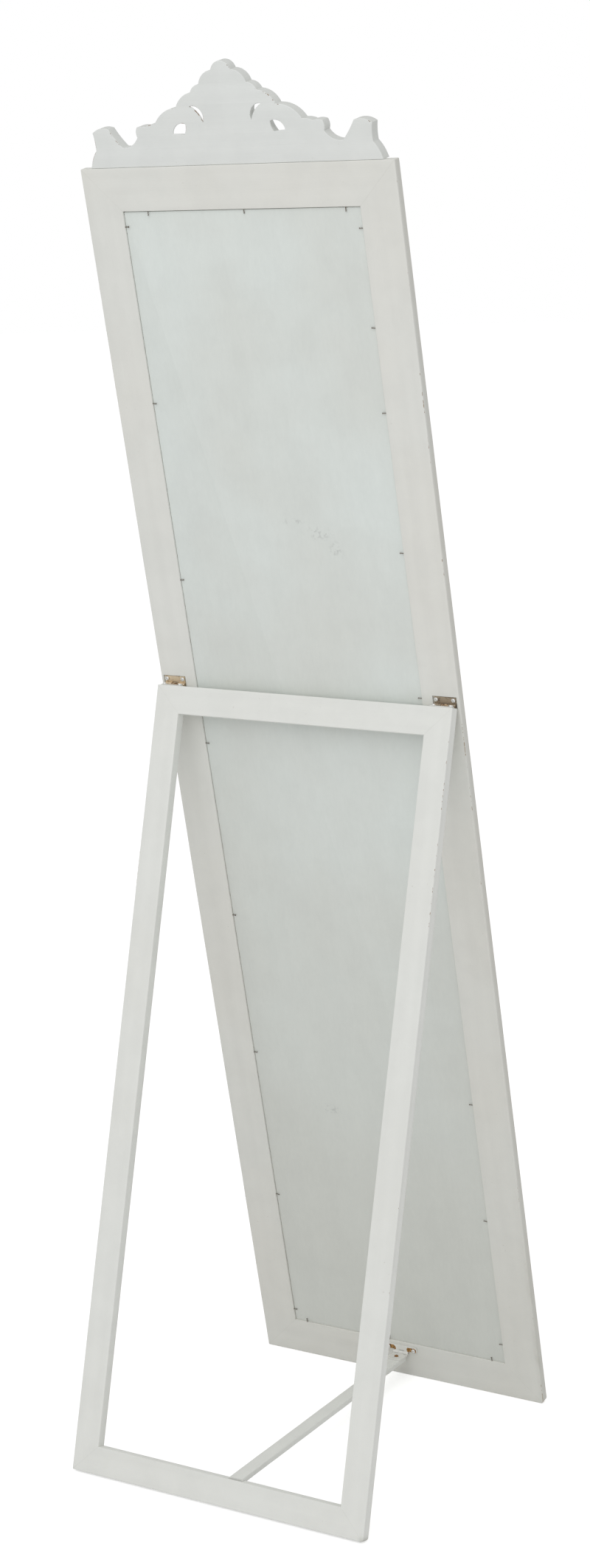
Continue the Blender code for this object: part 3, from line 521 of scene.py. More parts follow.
def wire_rubbing(graph: Graph, given: Any) -> Sequence[Socket]:
    """Paint rubbed and chipped off: a mask that grows with the edge value and breaks up."""
    broad = graph.noise(given["Vector"], 11.0, 2.0, 0.5)
    broken = graph.noise(given["Vector"], 210.0, 4.0, 0.65)
    level = graph.math("MULTIPLY_ADD", broad, 0.9, graph.math("MULTIPLY", broken, 0.75))
    threshold = graph.math("SUBTRACT", 1.42, graph.math("MULTIPLY", given["Amount"], 0.6))
    reach = graph.math("MULTIPLY_ADD", given["Edge"], 0.42, level)
    mask = graph.ramp(graph.math("SUBTRACT", reach, threshold), 0.0, 0.035)
    return (graph.math("MULTIPLY", mask, graph.ramp(given["Edge"], 0.05, 0.3)),)


def wire_scuff(graph: Graph, given: Any) -> Sequence[Socket]:
    """A soiled spot: fades with distance from its centre, and is broken up into fine marks."""
    offset = graph.vector("SUBTRACT", {0: given["Vector"], 1: given["Centre"]})
    scaled = graph.vector("DIVIDE", {0: offset, 1: given["Spread"]})
    inside = graph.ramp(graph.vector("LENGTH", {0: scaled}, "Value"), 1.0, 0.15)
    sized = graph.vector("SCALE", {0: given["Vector"], "Scale": given["Grain"]})
    marks = graph.ramp(graph.noise(sized, 1.0, 4.0, 0.65), 0.50, 0.62)
    return (graph.math("MULTIPLY", inside, marks),)


def wire_timber(graph: Graph, given: Any) -> Sequence[Socket]:
    """Softwood: growth lines along X of the vector with fine pores, as a shade and a height."""
    bent = graph.noise(graph.stretched(given["Vector"], 5.0, 40.0, 40.0), 1.0, 2.0)
    split = graph.put("SeparateXYZ", {0: given["Vector"]})
    depth = graph.math("ADD", split[1], split[2])
    phase = graph.math("MULTIPLY_ADD", bent, 7.0, graph.math("MULTIPLY", depth, given["Ring"]))
    rings = graph.math("MULTIPLY_ADD", graph.math("SINE", phase), 0.5, 0.5)
    pores = graph.noise(graph.stretched(given["Vector"], 60.0, 2400.0, 2400.0), 1.0)
    return graph.math("MULTIPLY_ADD", pores, 0.5, graph.math("MULTIPLY", rings, 0.5)), pores


BRUSHWORK = Effect(
    "brushwork", {"Vector": None, "Bristle": 900.0, "Drag": 9.0}, ("Height", "Tone"), wire_brushwork
)
MOTTLING = Effect(
    "mottling", {"Vector": None, "Scale": 6.0}, ("Clouds", "Blotches", "Specks"), wire_mottling
)
RUBBING = Effect("rubbing", {"Vector": None, "Edge": 0.0, "Amount": 0.5}, ("Mask",), wire_rubbing)
SCUFF = Effect(
    "scuff",
    {"Vector": None, "Centre": (0.0, 0.0, 0.0), "Spread": (0.02, 0.02, 0.02), "Grain": 300.0},
    ("Mask",),
    wire_scuff,
)
TIMBER = Effect("timber", {"Vector": None, "Ring": 260.0}, ("Shade", "Height"), wire_timber)


# ---- Finishes -------------------------------------------------------------------------------
@dataclass(frozen=True)
class Look:
    """A finish. Its material is made once and shared."""

    name: str

    def wire(self, graph: Graph) -> dict[str, Any]:
        """Wires the finish and gives what feeds its Principled shader, by input."""
        raise NotImplementedError

    def material(self) -> bpy.types.Material:
        """The finish's material."""
        made = bpy.data.materials.get(self.name)
        if made is None:
            made = bpy.data.materials.new(self.name)
            made.use_nodes = True
            graph = Graph(made.node_tree)
            graph.feed(made.node_tree.nodes["Principled BSDF"], self.wire(graph))
        return made

    def bump(self, graph: Graph, height: Any, depth: float) -> Socket:
        """The normal of a height of this depth in metres."""
        return graph.put("Bump", {"Height": height, "Distance": depth, "Strength": 1.0})[0]


@dataclass(frozen=True)
class PaintedTimber(Look):
    """White brushed paint over timber, dulled and yellowed in clouds, rubbed off at its edges.

    It reads the UV "grain" for its strokes, and the masks "edge" (rubbed arrises), "bare" (where
    the brush didn't reach, and painted shade on the mirror's top rebate wall) and one of dirt and
    painted shade (dirt on worn corners and dark mitre lines; painted shade towards the mirror's
    foot, on its outer face at -X and on the crest's walls and hollows).
    """

    coat: Colour = (0.80, 0.805, 0.765)
    aged: Colour = (0.79, 0.765, 0.70)
    under: Colour = (0.24, 0.155, 0.085)
    bare: Colour = (0.50, 0.385, 0.26)
    # Colour of dirt and of painted shade, mixed in by the dirt-and-shade mask.
    dirt_and_shade_colour: Colour = (0.36, 0.35, 0.28)
    speck: Colour = (0.42, 0.38, 0.32)
    aging: float = 0.35
    wear: float = 0.12
    bristle: float = 900.0
    cloud_scale: float = 4.0
    stroke_depth: float = 0.10 * MM

    def wire(self, graph: Graph) -> dict[str, Any]:
        """Coat, ageing, strokes, worn arrises and bare places, in that order."""
        grain, place = graph.put("UVMap", uv_map="grain")[0], graph.place()
        edge, missed, soil = (
            graph.put("Attribute", attribute_name=name)["Fac"] for name in ("edge", "bare", "soil")
        )
        strokes = BRUSHWORK.put(graph, Vector=grain, Bristle=self.bristle)
        clouds = MOTTLING.put(graph, Vector=place, Scale=self.cloud_scale)
        rubbed = RUBBING.put(graph, Vector=place, Edge=edge, Amount=self.wear)["Mask"]
        wood = TIMBER.put(graph, Vector=grain)

        yellow = graph.math("MULTIPLY", clouds["Clouds"], self.aging)
        colour = graph.mix(yellow, self.coat, self.aged)
        shade = graph.math("MULTIPLY_ADD", strokes["Tone"], 0.07, 0.93)
        faint = graph.math("MULTIPLY", clouds["Blotches"], 0.025)
        shade = graph.math("SUBTRACT", shade, faint)
        telegraphed = graph.math("MULTIPLY_ADD", wood["Shade"], 0.03, -0.015)
        colour = graph.shaded(colour, graph.math("ADD", shade, telegraphed))
        # Dirt, and painted shade on faces that get less light and in hollows.
        colour = graph.mix(graph.math("MULTIPLY", soil, 0.65), colour, self.dirt_and_shade_colour)
        colour = graph.mix(graph.math("MULTIPLY", clouds["Specks"], 0.30), colour, self.speck)
        dark = graph.math("MULTIPLY_ADD", wood["Shade"], 0.5, 0.35, clamp=True)
        bare = graph.mix(dark, self.bare, self.under)
        uneven = graph.math("MULTIPLY_ADD", graph.noise(place, 130.0, 3.0), 0.7, -0.35)
        missed = graph.ramp(graph.math("ADD", missed, uneven), 0.35, 0.65)
        colour = graph.mix(rubbed, graph.mix(missed, colour, bare), bare)

        gone = graph.math("MAXIMUM", rubbed, missed)
        rough = graph.math("MULTIPLY_ADD", clouds["Blotches"], 0.10, 0.48)
        height = graph.math("MULTIPLY_ADD", gone, -1.6, strokes["Height"])
        height = graph.math("MULTIPLY_ADD", wood["Height"], 0.25, height)
        return {
            "Base Color": colour,
            "Roughness": graph.math("MULTIPLY_ADD", gone, 0.25, rough),
            "Normal": self.bump(graph, height, self.stroke_depth),
        }


@dataclass(frozen=True)
class SprayedBoard(Look):
    """Thin hardboard with a cool grey-white sprayed coat, fibrous, with handling marks, and
    painted shade towards its foot.
    """

    coat: Colour = (0.80, 0.85, 0.82)
    dull: Colour = (0.755, 0.78, 0.74)
    # Painted shade: the coat darkens towards this colour near the board's foot.
    foot: Colour = (0.70, 0.71, 0.66)
    mark: Colour = (0.36, 0.37, 0.36)
    mark_share: float = 0.34
    mark_grain: float = 170.0
    marks: tuple = (
        ((-0.050, 1.262), (0.030, 0.012)),
        ((-0.072, 1.240), (0.014, 0.018)),
        ((-0.015, 1.276), (0.022, 0.006)),
        ((0.060, 0.420), (0.030, 0.010)),
    )

    def wire(self, graph: Graph) -> dict[str, Any]:
        """Coat, clouds, fibres and painted shade towards the foot, then the handling marks in the
        mirror's own plane.

        Each mark is its centre and its spread, both across and up.
        """
        flat = graph.put(
            "Mapping",
            {
                "Vector": graph.place(),
                "Location": tuple(MIRROR.origin),
                "Rotation": (-MIRROR_LEAN, 0, 0),
            },
            vector_type="TEXTURE",
        )[0]
        clouds = MOTTLING.put(graph, Vector=flat, Scale=3.2)
        weave = graph.noise(graph.stretched(flat, 260.0, 260.0, 90.0), 1.0, 4.0, 0.7)
        drips = graph.noise(graph.stretched(flat, 46.0, 46.0, 9.0), 1.0, 3.0, 0.6)
        colour = graph.mix(clouds["Clouds"], self.coat, self.dull)
        height = graph.put("SeparateXYZ", {0: flat})[2]
        # Painted shade: darker towards the foot.
        low = graph.math("MULTIPLY", graph.ramp(height, 1.1, 0.1), 0.8)
        shade = graph.math("MULTIPLY_ADD", weave, 0.07, 0.93)
        shade = graph.math("SUBTRACT", shade, graph.math("MULTIPLY", drips, 0.05))
        shade = graph.math("MULTIPLY_ADD", clouds["Blotches"], -0.02, shade)
        colour = graph.shaded(graph.mix(low, colour, self.foot), shade)
        for (across, up), (wide, tall) in self.marks:
            centre, spread = (across, 0.0, up), (wide, 1.0, tall)
            scuff = SCUFF.put(
                graph, Vector=flat, Centre=centre, Spread=spread, Grain=self.mark_grain
            )
            share = graph.math("MULTIPLY", scuff["Mask"], self.mark_share)
            colour = graph.mix(share, colour, self.mark)
        return {
            "Base Color": colour,
            "Roughness": 0.62,
            "Normal": self.bump(graph, weave, 0.05 * MM),
        }


@dataclass(frozen=True)
class BareTimber(Look):
    """Bare softwood, as in the hinge pockets, the peg and the dowels."""

    light: Colour
    dark: Colour
    ring: float = 900.0

    def wire(self, graph: Graph) -> dict[str, Any]:
        """Growth lines and pores on object coordinates."""
        place = graph.place()
        wood = TIMBER.put(graph, Vector=place, Ring=self.ring)
        share = graph.math("MULTIPLY_ADD", graph.noise(place, 95.0, 3.0), 0.9, -0.35)
        share = graph.math("MULTIPLY_ADD", wood["Shade"], 0.7, share, clamp=True)
        return {
            "Base Color": graph.mix(share, self.light, self.dark),
            "Roughness": 0.78,
            "Normal": self.bump(graph, wood["Height"], 0.12 * MM),
        }


@dataclass(frozen=True)
class PlatedMetal(Look):
    """Thin plated sheet or wire: brushed, tarnished in patches, with spots of rust."""

    plate: Colour
    tarnish: Colour
    rust: Colour = (0.13, 0.06, 0.025)
    gloss: float = 0.34
    tarnishing: float = 0.5
    rusting: float = 0.35

    def wire(self, graph: Graph) -> dict[str, Any]:
        """Plating, tarnish and rust by noise, and fine scratches in the gloss."""
        place = graph.place()
        patches = graph.noise(place, 160.0, 4.0, 0.6)
        scratches = graph.noise(graph.stretched(place, 70.0, 2600.0, 2600.0), 1.0, 2.0)
        tarnished = graph.ramp(patches, 0.72 - 0.4 * self.tarnishing, 0.86 - 0.3 * self.tarnishing)
        spots = graph.noise(place, 520.0, 3.0, 0.6)
        rusted = graph.ramp(graph.math("MULTIPLY_ADD", patches, 0.4, spots), 0.86, 0.92)
        rusted = graph.math("MULTIPLY", rusted, self.rusting, clamp=True)
        colour = graph.mix(tarnished, self.plate, self.tarnish)
        metal = graph.math("MULTIPLY_ADD", rusted, -0.9, 1.0)
        rough = graph.math("MULTIPLY_ADD", scratches, 0.16, self.gloss)
        return {
            "Base Color": graph.mix(rusted, colour, self.rust),
            "Metallic": graph.math("MULTIPLY_ADD", tarnished, -0.25, metal),
            "Roughness": graph.math("MULTIPLY_ADD", tarnished, 0.18, rough),
            "Normal": self.bump(graph, scratches, 0.02 * MM),
        }


@dataclass(frozen=True)
class OverpaintedPlate(Look):
    """A brass hinge plate that was painted with the frame and has chipped round some points."""

    coat: Colour = (0.80, 0.80, 0.76)
    plate: Colour = (0.45, 0.24, 0.09)
    stain: Colour = (0.14, 0.07, 0.03)
    chips: tuple[Point, ...] = ()
    reach: float = 6.0 * MM
    amount: float = 0.55

    def wire(self, graph: Graph) -> dict[str, Any]:
        """Paint that gives way to plate near each chip's centre, broken up by noise."""
        place = graph.place()
        broken = graph.noise(place, 420.0, 4.0, 0.6)
        bare = graph.ramp(broken, 0.70, 0.73)
        for centre in self.chips:
            away = graph.vector("DISTANCE", {0: place, 1: centre}, "Value")
            nearby = graph.ramp(away, self.reach, 0.35 * self.reach)
            level = graph.math("MULTIPLY_ADD", broken, 0.7, nearby)
            chip = graph.ramp(level, 1.28 - 0.5 * self.amount, 1.33 - 0.5 * self.amount)
            bare = graph.math("MAXIMUM", bare, chip)
        stained = graph.ramp(graph.noise(place, 700.0, 2.0), 0.4, 0.62)
        shade = graph.math("MULTIPLY_ADD", graph.noise(place, 190.0, 3.0), 0.10, 0.92)
        paint = graph.shaded(self.coat, shade)
        height = graph.math("MULTIPLY_ADD", bare, -1.0, graph.math("MULTIPLY", broken, 0.5))
        return {
            "Base Color": graph.mix(bare, paint, graph.mix(stained, self.plate, self.stain)),
            "Metallic": graph.math("MULTIPLY", bare, 0.55),
            "Roughness": graph.math("MULTIPLY_ADD", bare, -0.08, 0.50),
            "Normal": self.bump(graph, height, 0.12 * MM),
        }


@dataclass(frozen=True)
class SilveredGlass(Look):
    """A silvered looking-glass with the faintest haze."""

    clear: Colour = (0.90, 0.93, 0.92)
    hazy: Colour = (0.87, 0.90, 0.89)

    def wire(self, graph: Graph) -> dict[str, Any]:
        """A mirror whose gloss is broken by faint wiping marks."""
        haze = graph.noise(graph.stretched(graph.place(), 5.0, 5.0, 2.0), 1.0, 3.0)
        return {
            "Base Color": graph.mix(graph.ramp(haze, 0.3, 0.8), self.clear, self.hazy),
            "Roughness": graph.math("MULTIPLY_ADD", graph.ramp(haze, 0.45, 0.75), 0.02, 0.006),
            "Metallic": 1.0,
        }


@dataclass(frozen=True)
class PaleFloor(Look):
    """The plain pale floor of the studio, lifted a little so that it stays near white."""

    lift: float = 0.45

    def wire(self, graph: Graph) -> dict[str, Any]:
        """A matt near-white with a barely visible unevenness, and its lift for the camera."""
        direct = graph.put("LightPath")["Is Camera Ray"]
        tone = graph.ramp(graph.noise(graph.place(), 0.6, 2.0), 0.3, 0.7)
        return {
            "Base Color": graph.mix(tone, (0.91, 0.91, 0.91), (0.925, 0.925, 0.925)),
            "Roughness": 0.9,
            "Specular IOR Level": 0.1,
            "Emission Color": (1.0, 1.0, 1.0, 1.0),
            "Emission Strength": graph.math("MULTIPLY", direct, self.lift),
        }


FRAME_PAINT = PaintedTimber("frame_paint")
# Lighter than the frame paint, less aged and unworn; the extra lightness is painted light for the
# stand's brighter, upward-facing back.
LIT_STAND_PAINT = PaintedTimber("lit_stand_paint", coat=(0.835, 0.845, 0.81), aging=0.12, wear=0.0)
CREST_PAINT = PaintedTimber(
    "crest_paint",
    coat=(0.80, 0.82, 0.80),
    aged=(0.76, 0.765, 0.735),
    under=(0.20, 0.11, 0.08),
    aging=0.25,
    wear=0.27,
)
POCKET_WOOD = BareTimber("pocket_wood", (0.66, 0.50, 0.33), (0.36, 0.25, 0.15))
# Painted shade: near-black wood for the left hinge pocket's walls, standing in for the shadow in
# the pocket.
SHADED_POCKET_WOOD = BareTimber("shaded_pocket_wood", (0.15, 0.10, 0.055), (0.05, 0.03, 0.02))
PEG_WOOD = BareTimber("peg_wood", (0.60, 0.46, 0.29), (0.38, 0.25, 0.13))
BOARD_COAT = SprayedBoard("board_coat")
LEAF_BRASS = PlatedMetal("leaf_brass", (0.84, 0.71, 0.53), (0.52, 0.40, 0.26), gloss=0.42)
# Painted shade: a darker copy of the brass for the right hinge leaf, which lies in the shadow of
# its pocket's top edge.
SHADED_LEAF = PlatedMetal(
    "shaded_leaf", (0.50, 0.42, 0.32), (0.24, 0.19, 0.14), gloss=0.48, tarnishing=0.55
)
PIN_BRASS = PlatedMetal("pin_brass", (0.30, 0.20, 0.11), (0.14, 0.09, 0.05))
ZINC = PlatedMetal(
    "screw_zinc",
    (0.90, 0.90, 0.89),
    (0.50, 0.49, 0.46),
    gloss=0.24,
    tarnishing=0.25,
    rusting=0.25,
)
BRAD_STEEL = PlatedMetal(
    "brad_steel", (0.27, 0.24, 0.21), (0.16, 0.12, 0.09), gloss=0.45, rusting=0.8
)
GLASS = SilveredGlass("silvered_glass")
FLOOR = PaleFloor("pale_floor")


# ---- Rectangular frames ---------------------------------------------------------------------
@dataclass
class TimberFrame:
    """A mitred rectangular frame: one section carried round four members."""

    local: LocalFrame
    body: str
    width: float
    height: float
    paint: PaintedTimber
    seed: float
    arris: float = 1.0 * MM
    worn_corner: float = 5 * MM
    joint_gap: float = 0.04 * MM
    longest: float = 18.0 * MM

    def section(self) -> tuple[Array, Array, Array]:
        """The member's section: (points, 2) as inward and depth, then its edge and bare masks."""
        raise NotImplementedError

    def soil(self, points: Array) -> Array:
        """Dirt and painted shade over the frame, from 0 to 1."""
        raise NotImplementedError

    def bare_wood_and_shade_share(self, side: Side) -> float:
        """How much of a member's bare places show dark bare wood: where the brush missed, and as
        painted shade.
        """
        return 1.0

    def edge_share(self, side: Side) -> float:
        """How much a member's arrises were rubbed, against the others."""
        return 1.0

    def pockets(self, side: Side) -> list[bpy.types.Object]:
        """Cutters for the pockets and housings in a member."""
        raise NotImplementedError

    def stations(self, length: float) -> Array:
        """Places along a member from -1 to 1, close together near its ends."""
        fine = np.array([0, 0.4, 0.9, 1.5, 2.2, 3.0, 4.0, 5.2, 6.6, 8.5, 11, 15]) * MM
        middle = np.linspace(15 * MM, length / 2, max(3, int(length / 2 / self.longest)))
        share = 1 - np.concatenate((fine, middle[1:])) / (length / 2)
        return np.concatenate((-share, share[::-1][1:]))

    def member(self, side: Side) -> Shell:
        """One member between its mitres.

        With t from -1 to 1 and the section's inward distance d, a point lies at
        t * (length / 2 - d) along the member, which makes both ends mitres.
        """
        profile, edge, bare = self.section()
        bare, edge = bare * self.bare_wood_and_shade_share(side), edge * self.edge_share(side)
        across, up = side.value
        length = self.height if across else self.width
        t = self.stations(length)[:, None]
        inward, depth = profile.T
        along = t * (length / 2 - self.joint_gap / 2 - inward)
        number = list(Side).index(side)
        soft = 0.10 * MM * ripple(along * 0.45, inward * 6, seed=self.seed + number)
        wavy = 0.16 * MM * ripple(along * 0.6, seed=self.seed + 2.3 * number) * edge
        depth, inward = depth + soft * (1 - bare), inward + wavy
        middle = self.height / 2
        if across:
            points = join(across * (self.width / 2 - inward), depth, middle + along)
        else:
            points = join(along, depth, middle + up * (self.height / 2 - inward))
        points = self.round_corners(points)
        uv = join(along + 3.1 * number, running_length(profile) + 0.7 * number)
        worn = np.clip(edge + 0.25 * near(np.abs(t), 1.0, 2.5 * MM / length), 0, 1)
        # Dirt and painted shade from the frame, and dark lines at the mitres.
        soil = self.soil(points) + 0.12 * near(np.abs(t), 1.0, 0.9 * MM / length)
        shell = Shell()
        shell.loft(points, uv, edge=worn, bare=bare, soil=np.clip(soil, 0, 1))
        return shell

    def round_corners(self, points: Array) -> Array:
        """Rounds the outer corners of the frame, the lower one at -X more than the others.

        With p and q how far a point lies beyond (r, r) towards the corner, the square is drawn
        in to a quarter circle by the factor max(p, q) / hypot(p, q).
        """
        for sign_x, sign_z, radius in (
            (-1, -1, self.worn_corner),
            (1, -1, 1.6 * MM),
            (-1, 1, 1.4 * MM),
            (1, 1, 1.2 * MM),
        ):
            p = sign_x * points[..., 0] - self.width / 2 + radius
            q = sign_z * (points[..., 2] - self.height / 2) - self.height / 2 + radius
            inside = (p > 0) & (q > 0)
            pull = np.where(inside, np.maximum(p, q) / np.maximum(np.hypot(p, q), 1e-9), 1.0)
            points[..., 0] += sign_x * np.where(inside, p * (pull - 1), 0)
            points[..., 2] += sign_z * np.where(inside, q * (pull - 1), 0)
        return points

    def build(self, names: dict[Side, str]) -> None:
        """Builds the four members in place of the CAD's."""
        for side, name in names.items():
            made = self.member(side).build(f"painted_{name}", self.local)
            # The left stile's pocket walls are in dark wood as painted shade.
            looks = (self.paint, SHADED_POCKET_WOOD if side is Side.LEFT else POCKET_WOOD)
            for look in looks:
                made.data.materials.append(look.material())
            carve(made, self.pockets(side))
            finish_piece(made, self.body, looks, (name,))


@dataclass
class MirrorFrame(TimberFrame):
    """The leaning mirror frame: flat back, rebate, sight bead, hollow and outer bead."""

    rail: float = 54 * MM
    lip: float = 8 * MM
    side_depth: float = 12 * MM
    rebate: float = 9.8 * MM
    sight_bead: float = 4 * MM
    sight_depth: float = 14 * MM
    hollow: tuple[float, float, float] = (9.6 * MM, 18 * MM, 17 * MM)
    outer_bead: float = 5 * MM
    outer_place: float = 11 * MM
    outer_depth: float = 12.6 * MM
    ease: float = 0.8 * MM
    pocket_margin: float = 1.8 * MM

    def section(self) -> tuple[Array, Array, Array]:
        """Back, eased rebate arris, rebate, sight bead, raised-cosine hollow and outer bead."""
        sight, ease = self.rail + self.lip, self.ease
        from_sight, from_edge, deep = self.hollow
        share = np.linspace(0, 1, 15)
        across = sight - from_sight + (from_edge - sight + from_sight) * share
        shallower = (deep - self.outer_depth) * (1 - np.cos(np.pi * share)) / 2
        parts = [
            arc((self.arris, -self.arris), self.arris, 180, 90, 5),
            arc((self.rail - ease, -ease), ease, 90, 0, 4),
            [(self.rail, -self.rebate), (sight, -self.rebate)],
            arc((sight - self.sight_bead, -self.sight_depth), self.sight_bead, 0, -165, 14),
            join(across, shallower - deep),
            arc((self.outer_place, -self.outer_depth), self.outer_bead, -20, -160, 12),
            arc((self.arris, self.arris - self.side_depth), self.arris, 270, 180, 5),
        ]
        profile = refine(np.concatenate(parts), 6 * MM)
        inward, depth = profile.T
        outer = near(inward, 0.3 * MM, 0.7 * MM)
        edge = outer * near(depth, -0.3 * MM, 1.0 * MM)
        edge = edge + outer * near(depth, -self.side_depth, 1.2 * MM)
        edge = edge + 0.45 * near(inward, self.rail, 0.6 * MM) * near(depth, -0.3 * MM, 0.6 * MM)
        edge = edge + 0.6 * near(depth, -self.outer_depth - self.outer_bead, 0.7 * MM)
        walls = (inward > self.rail - 0.01 * MM) * smooth_step(-depth, 0.9 * MM, 1.7 * MM)
        return profile, np.clip(edge, 0, 1), walls * (depth > -10 * MM)

    def bare_wood_and_shade_share(self, side: Side) -> float:
        """The rebate's wall was missed on the sides and not at the bottom. At the top its dark bare
        wood is painted shade on the wall that faces down.
        """
        return {Side.BOTTOM: 0.0, Side.TOP: 0.8}.get(side, 1.0)

    def edge_share(self, side: Side) -> float:
        """The crest has kept the top rail from rubbing."""
        return 0.15 if side is Side.TOP else 1.0

    def soil(self, points: Array) -> Array:
        """Painted shade towards the foot and on the outer face at -X, which gets less light, and
        dirt low on its arris.
        """
        x, depth, up = np.moveaxis(points, -1, 0)
        # Dirt low on the back arris at -X.
        low_right = smooth_step(-x, 0.221, 0.2255) * smooth_step(-up, -0.42, -0.05)
        low_right = low_right * smooth_step(depth, -4 * MM, -0.4 * MM)
        # Painted shade: darker towards the foot, where less light falls.
        foot = 0.16 * smooth_step(-up, -1.1, 0.0)
        # Painted shade on the outer face at -X, which gets less light.
        outer = smooth_step(-x, self.width / 2 - 0.9 * MM, self.width / 2 - 0.2 * MM)
        foot = foot + 0.34 * outer * smooth_step(-depth, 0.6 * MM, 1.6 * MM)
        return foot + 0.55 * low_right * (0.5 + 0.5 * ripple(up * 3, seed=4.0))

    def pockets(self, side: Side) -> list[bpy.types.Object]:
        """The hinge pocket of a stile, round its leaf: leaf box grown by the margins."""
        if side not in (Side.LEFT, Side.RIGHT):
            return []
        low, high = self.local.box(f"frame_leaf_{side.name.lower()}")
        margin = self.pocket_margin
        start = np.array((low[0] - margin, low[1] - 0.3 * MM, low[2] - margin))
        end = np.array((high[0] + margin, 2 * MM, high[2] + margin / 2))
        return [block("hinge_pocket", self.local, start, end)]


@dataclass
class StandFrame(TimberFrame):
    """The hinged rear stand: plain rectangular members with eased edges."""

    rail: float = 37 * MM
    thickness: float = 14 * MM
    housing_wall: float = 1.8 * MM
    beside_bar: float = 0.4 * MM

    def section(self) -> tuple[Array, Array, Array]:
        """A rectangle with quarter-round arrises."""
        r, wide, deep = self.arris, self.rail, self.thickness
        parts = [
            arc((r, -r), r, 180, 90, 5),
            arc((wide - r, -r), r, 90, 0, 5),
            arc((wide - r, r - deep), r, 0, -90, 5),
            arc((r, r - deep), r, -90, -180, 5),
        ]
        profile = refine(np.concatenate(parts), 5 * MM)
        inward, depth = profile.T
        edge = np.maximum(near(inward, 0.3 * MM, 0.8 * MM), 0.6 * near(inward, wide, 0.8 * MM))
        edge = edge * np.maximum(near(depth, 0, 0.9 * MM), near(depth, -deep, 0.9 * MM))
        return profile, np.clip(edge, 0, 1), np.zeros(len(profile))

    def soil(self, points: Array) -> Array:
        """Grime on the worn lower corner."""
        return 0.8 * near(np.hypot(points[..., 0] + self.width / 2, points[..., 2]), 0.0, 5 * MM)

    def pockets(self, side: Side) -> list[bpy.types.Object]:
        """The housing of the brace in the bottom rail, stopped short of the rail's back face.

        In the brace's frame that face is the line y = foot + slope * (z - foot's z).
        """
        if side is not Side.BOTTOM:
            return []
        low, high = BRACE.box("brace_bar")
        face = self.local.place(np.array([(0, 0, 0), (0, 0, self.rail)]))
        foot, head = (face - BRACE.origin) @ BRACE.turn
        slope = (foot[1] - head[1]) / (head[2] - foot[2])
        floor = low[2] - 0.3 * MM
        stop = foot[1] - slope * (floor - foot[2]) - self.housing_wall
        start = np.array((low[0] - self.beside_bar, high[1] - 32 * MM, floor))
        end = np.array((high[0] + self.beside_bar, stop, high[2] + 40 * MM))
        return [block("brace_housing", BRACE, start, end, slope)]


# ---- Backing board --------------------------------------------------------------------------
@dataclass
class BackingBoard:
    """The hardboard over the glass. It stands on the rebate's sill and leaves a gap above."""

    opening: tuple[float, float]
    foot: float
    side_gap: float = 0.35 * MM
    sill_gap: float = 0.05 * MM
    head_gap: float = 0.9 * MM
    corner: float = 1.5 * MM
    arris: float = 0.5 * MM

    def build(self) -> None:
        """Rings round the board's edge, c + (r - inset) * (cos a, sin a) about the corners.

        The inset is arris * (1 - sin b) while the depth changes by arris * (1 - cos b).
        """
        low, high = MIRROR.box("backing_board")
        wide, tall = self.opening
        half = wide / 2 - self.side_gap - self.corner
        bottom = self.foot + self.sill_gap + self.corner
        top = self.foot + tall - self.head_gap - self.corner
        centres = np.array([(half, top), (-half, top), (-half, bottom), (half, bottom)])
        quarter = np.radians(np.linspace(0, 90, 7))
        angle = (quarter[None] + np.radians([0, 90, 180, 270])[:, None]).ravel()
        x, z = np.repeat(centres, len(quarter), axis=0).T
        turn = np.radians(np.linspace(0, 90, 4))
        inset, lowered = self.arris * (1 - np.sin(turn)), self.arris * (1 - np.cos(turn))
        radius = self.corner - np.concatenate((inset, inset[::-1]))[:, None]
        depth = np.concatenate((high[1] - lowered, low[1] + lowered[::-1]))[:, None]
        rings = join(x + radius * np.cos(angle), depth, z + radius * np.sin(angle))
        shell = Shell()
        shell.loft(rings, rings[..., (2, 0)])
        made = shell.build("sprayed_backing_board", MIRROR, smooth=50)
        finish_piece(made, "mirror", (BOARD_COAT,), ("backing_board",))


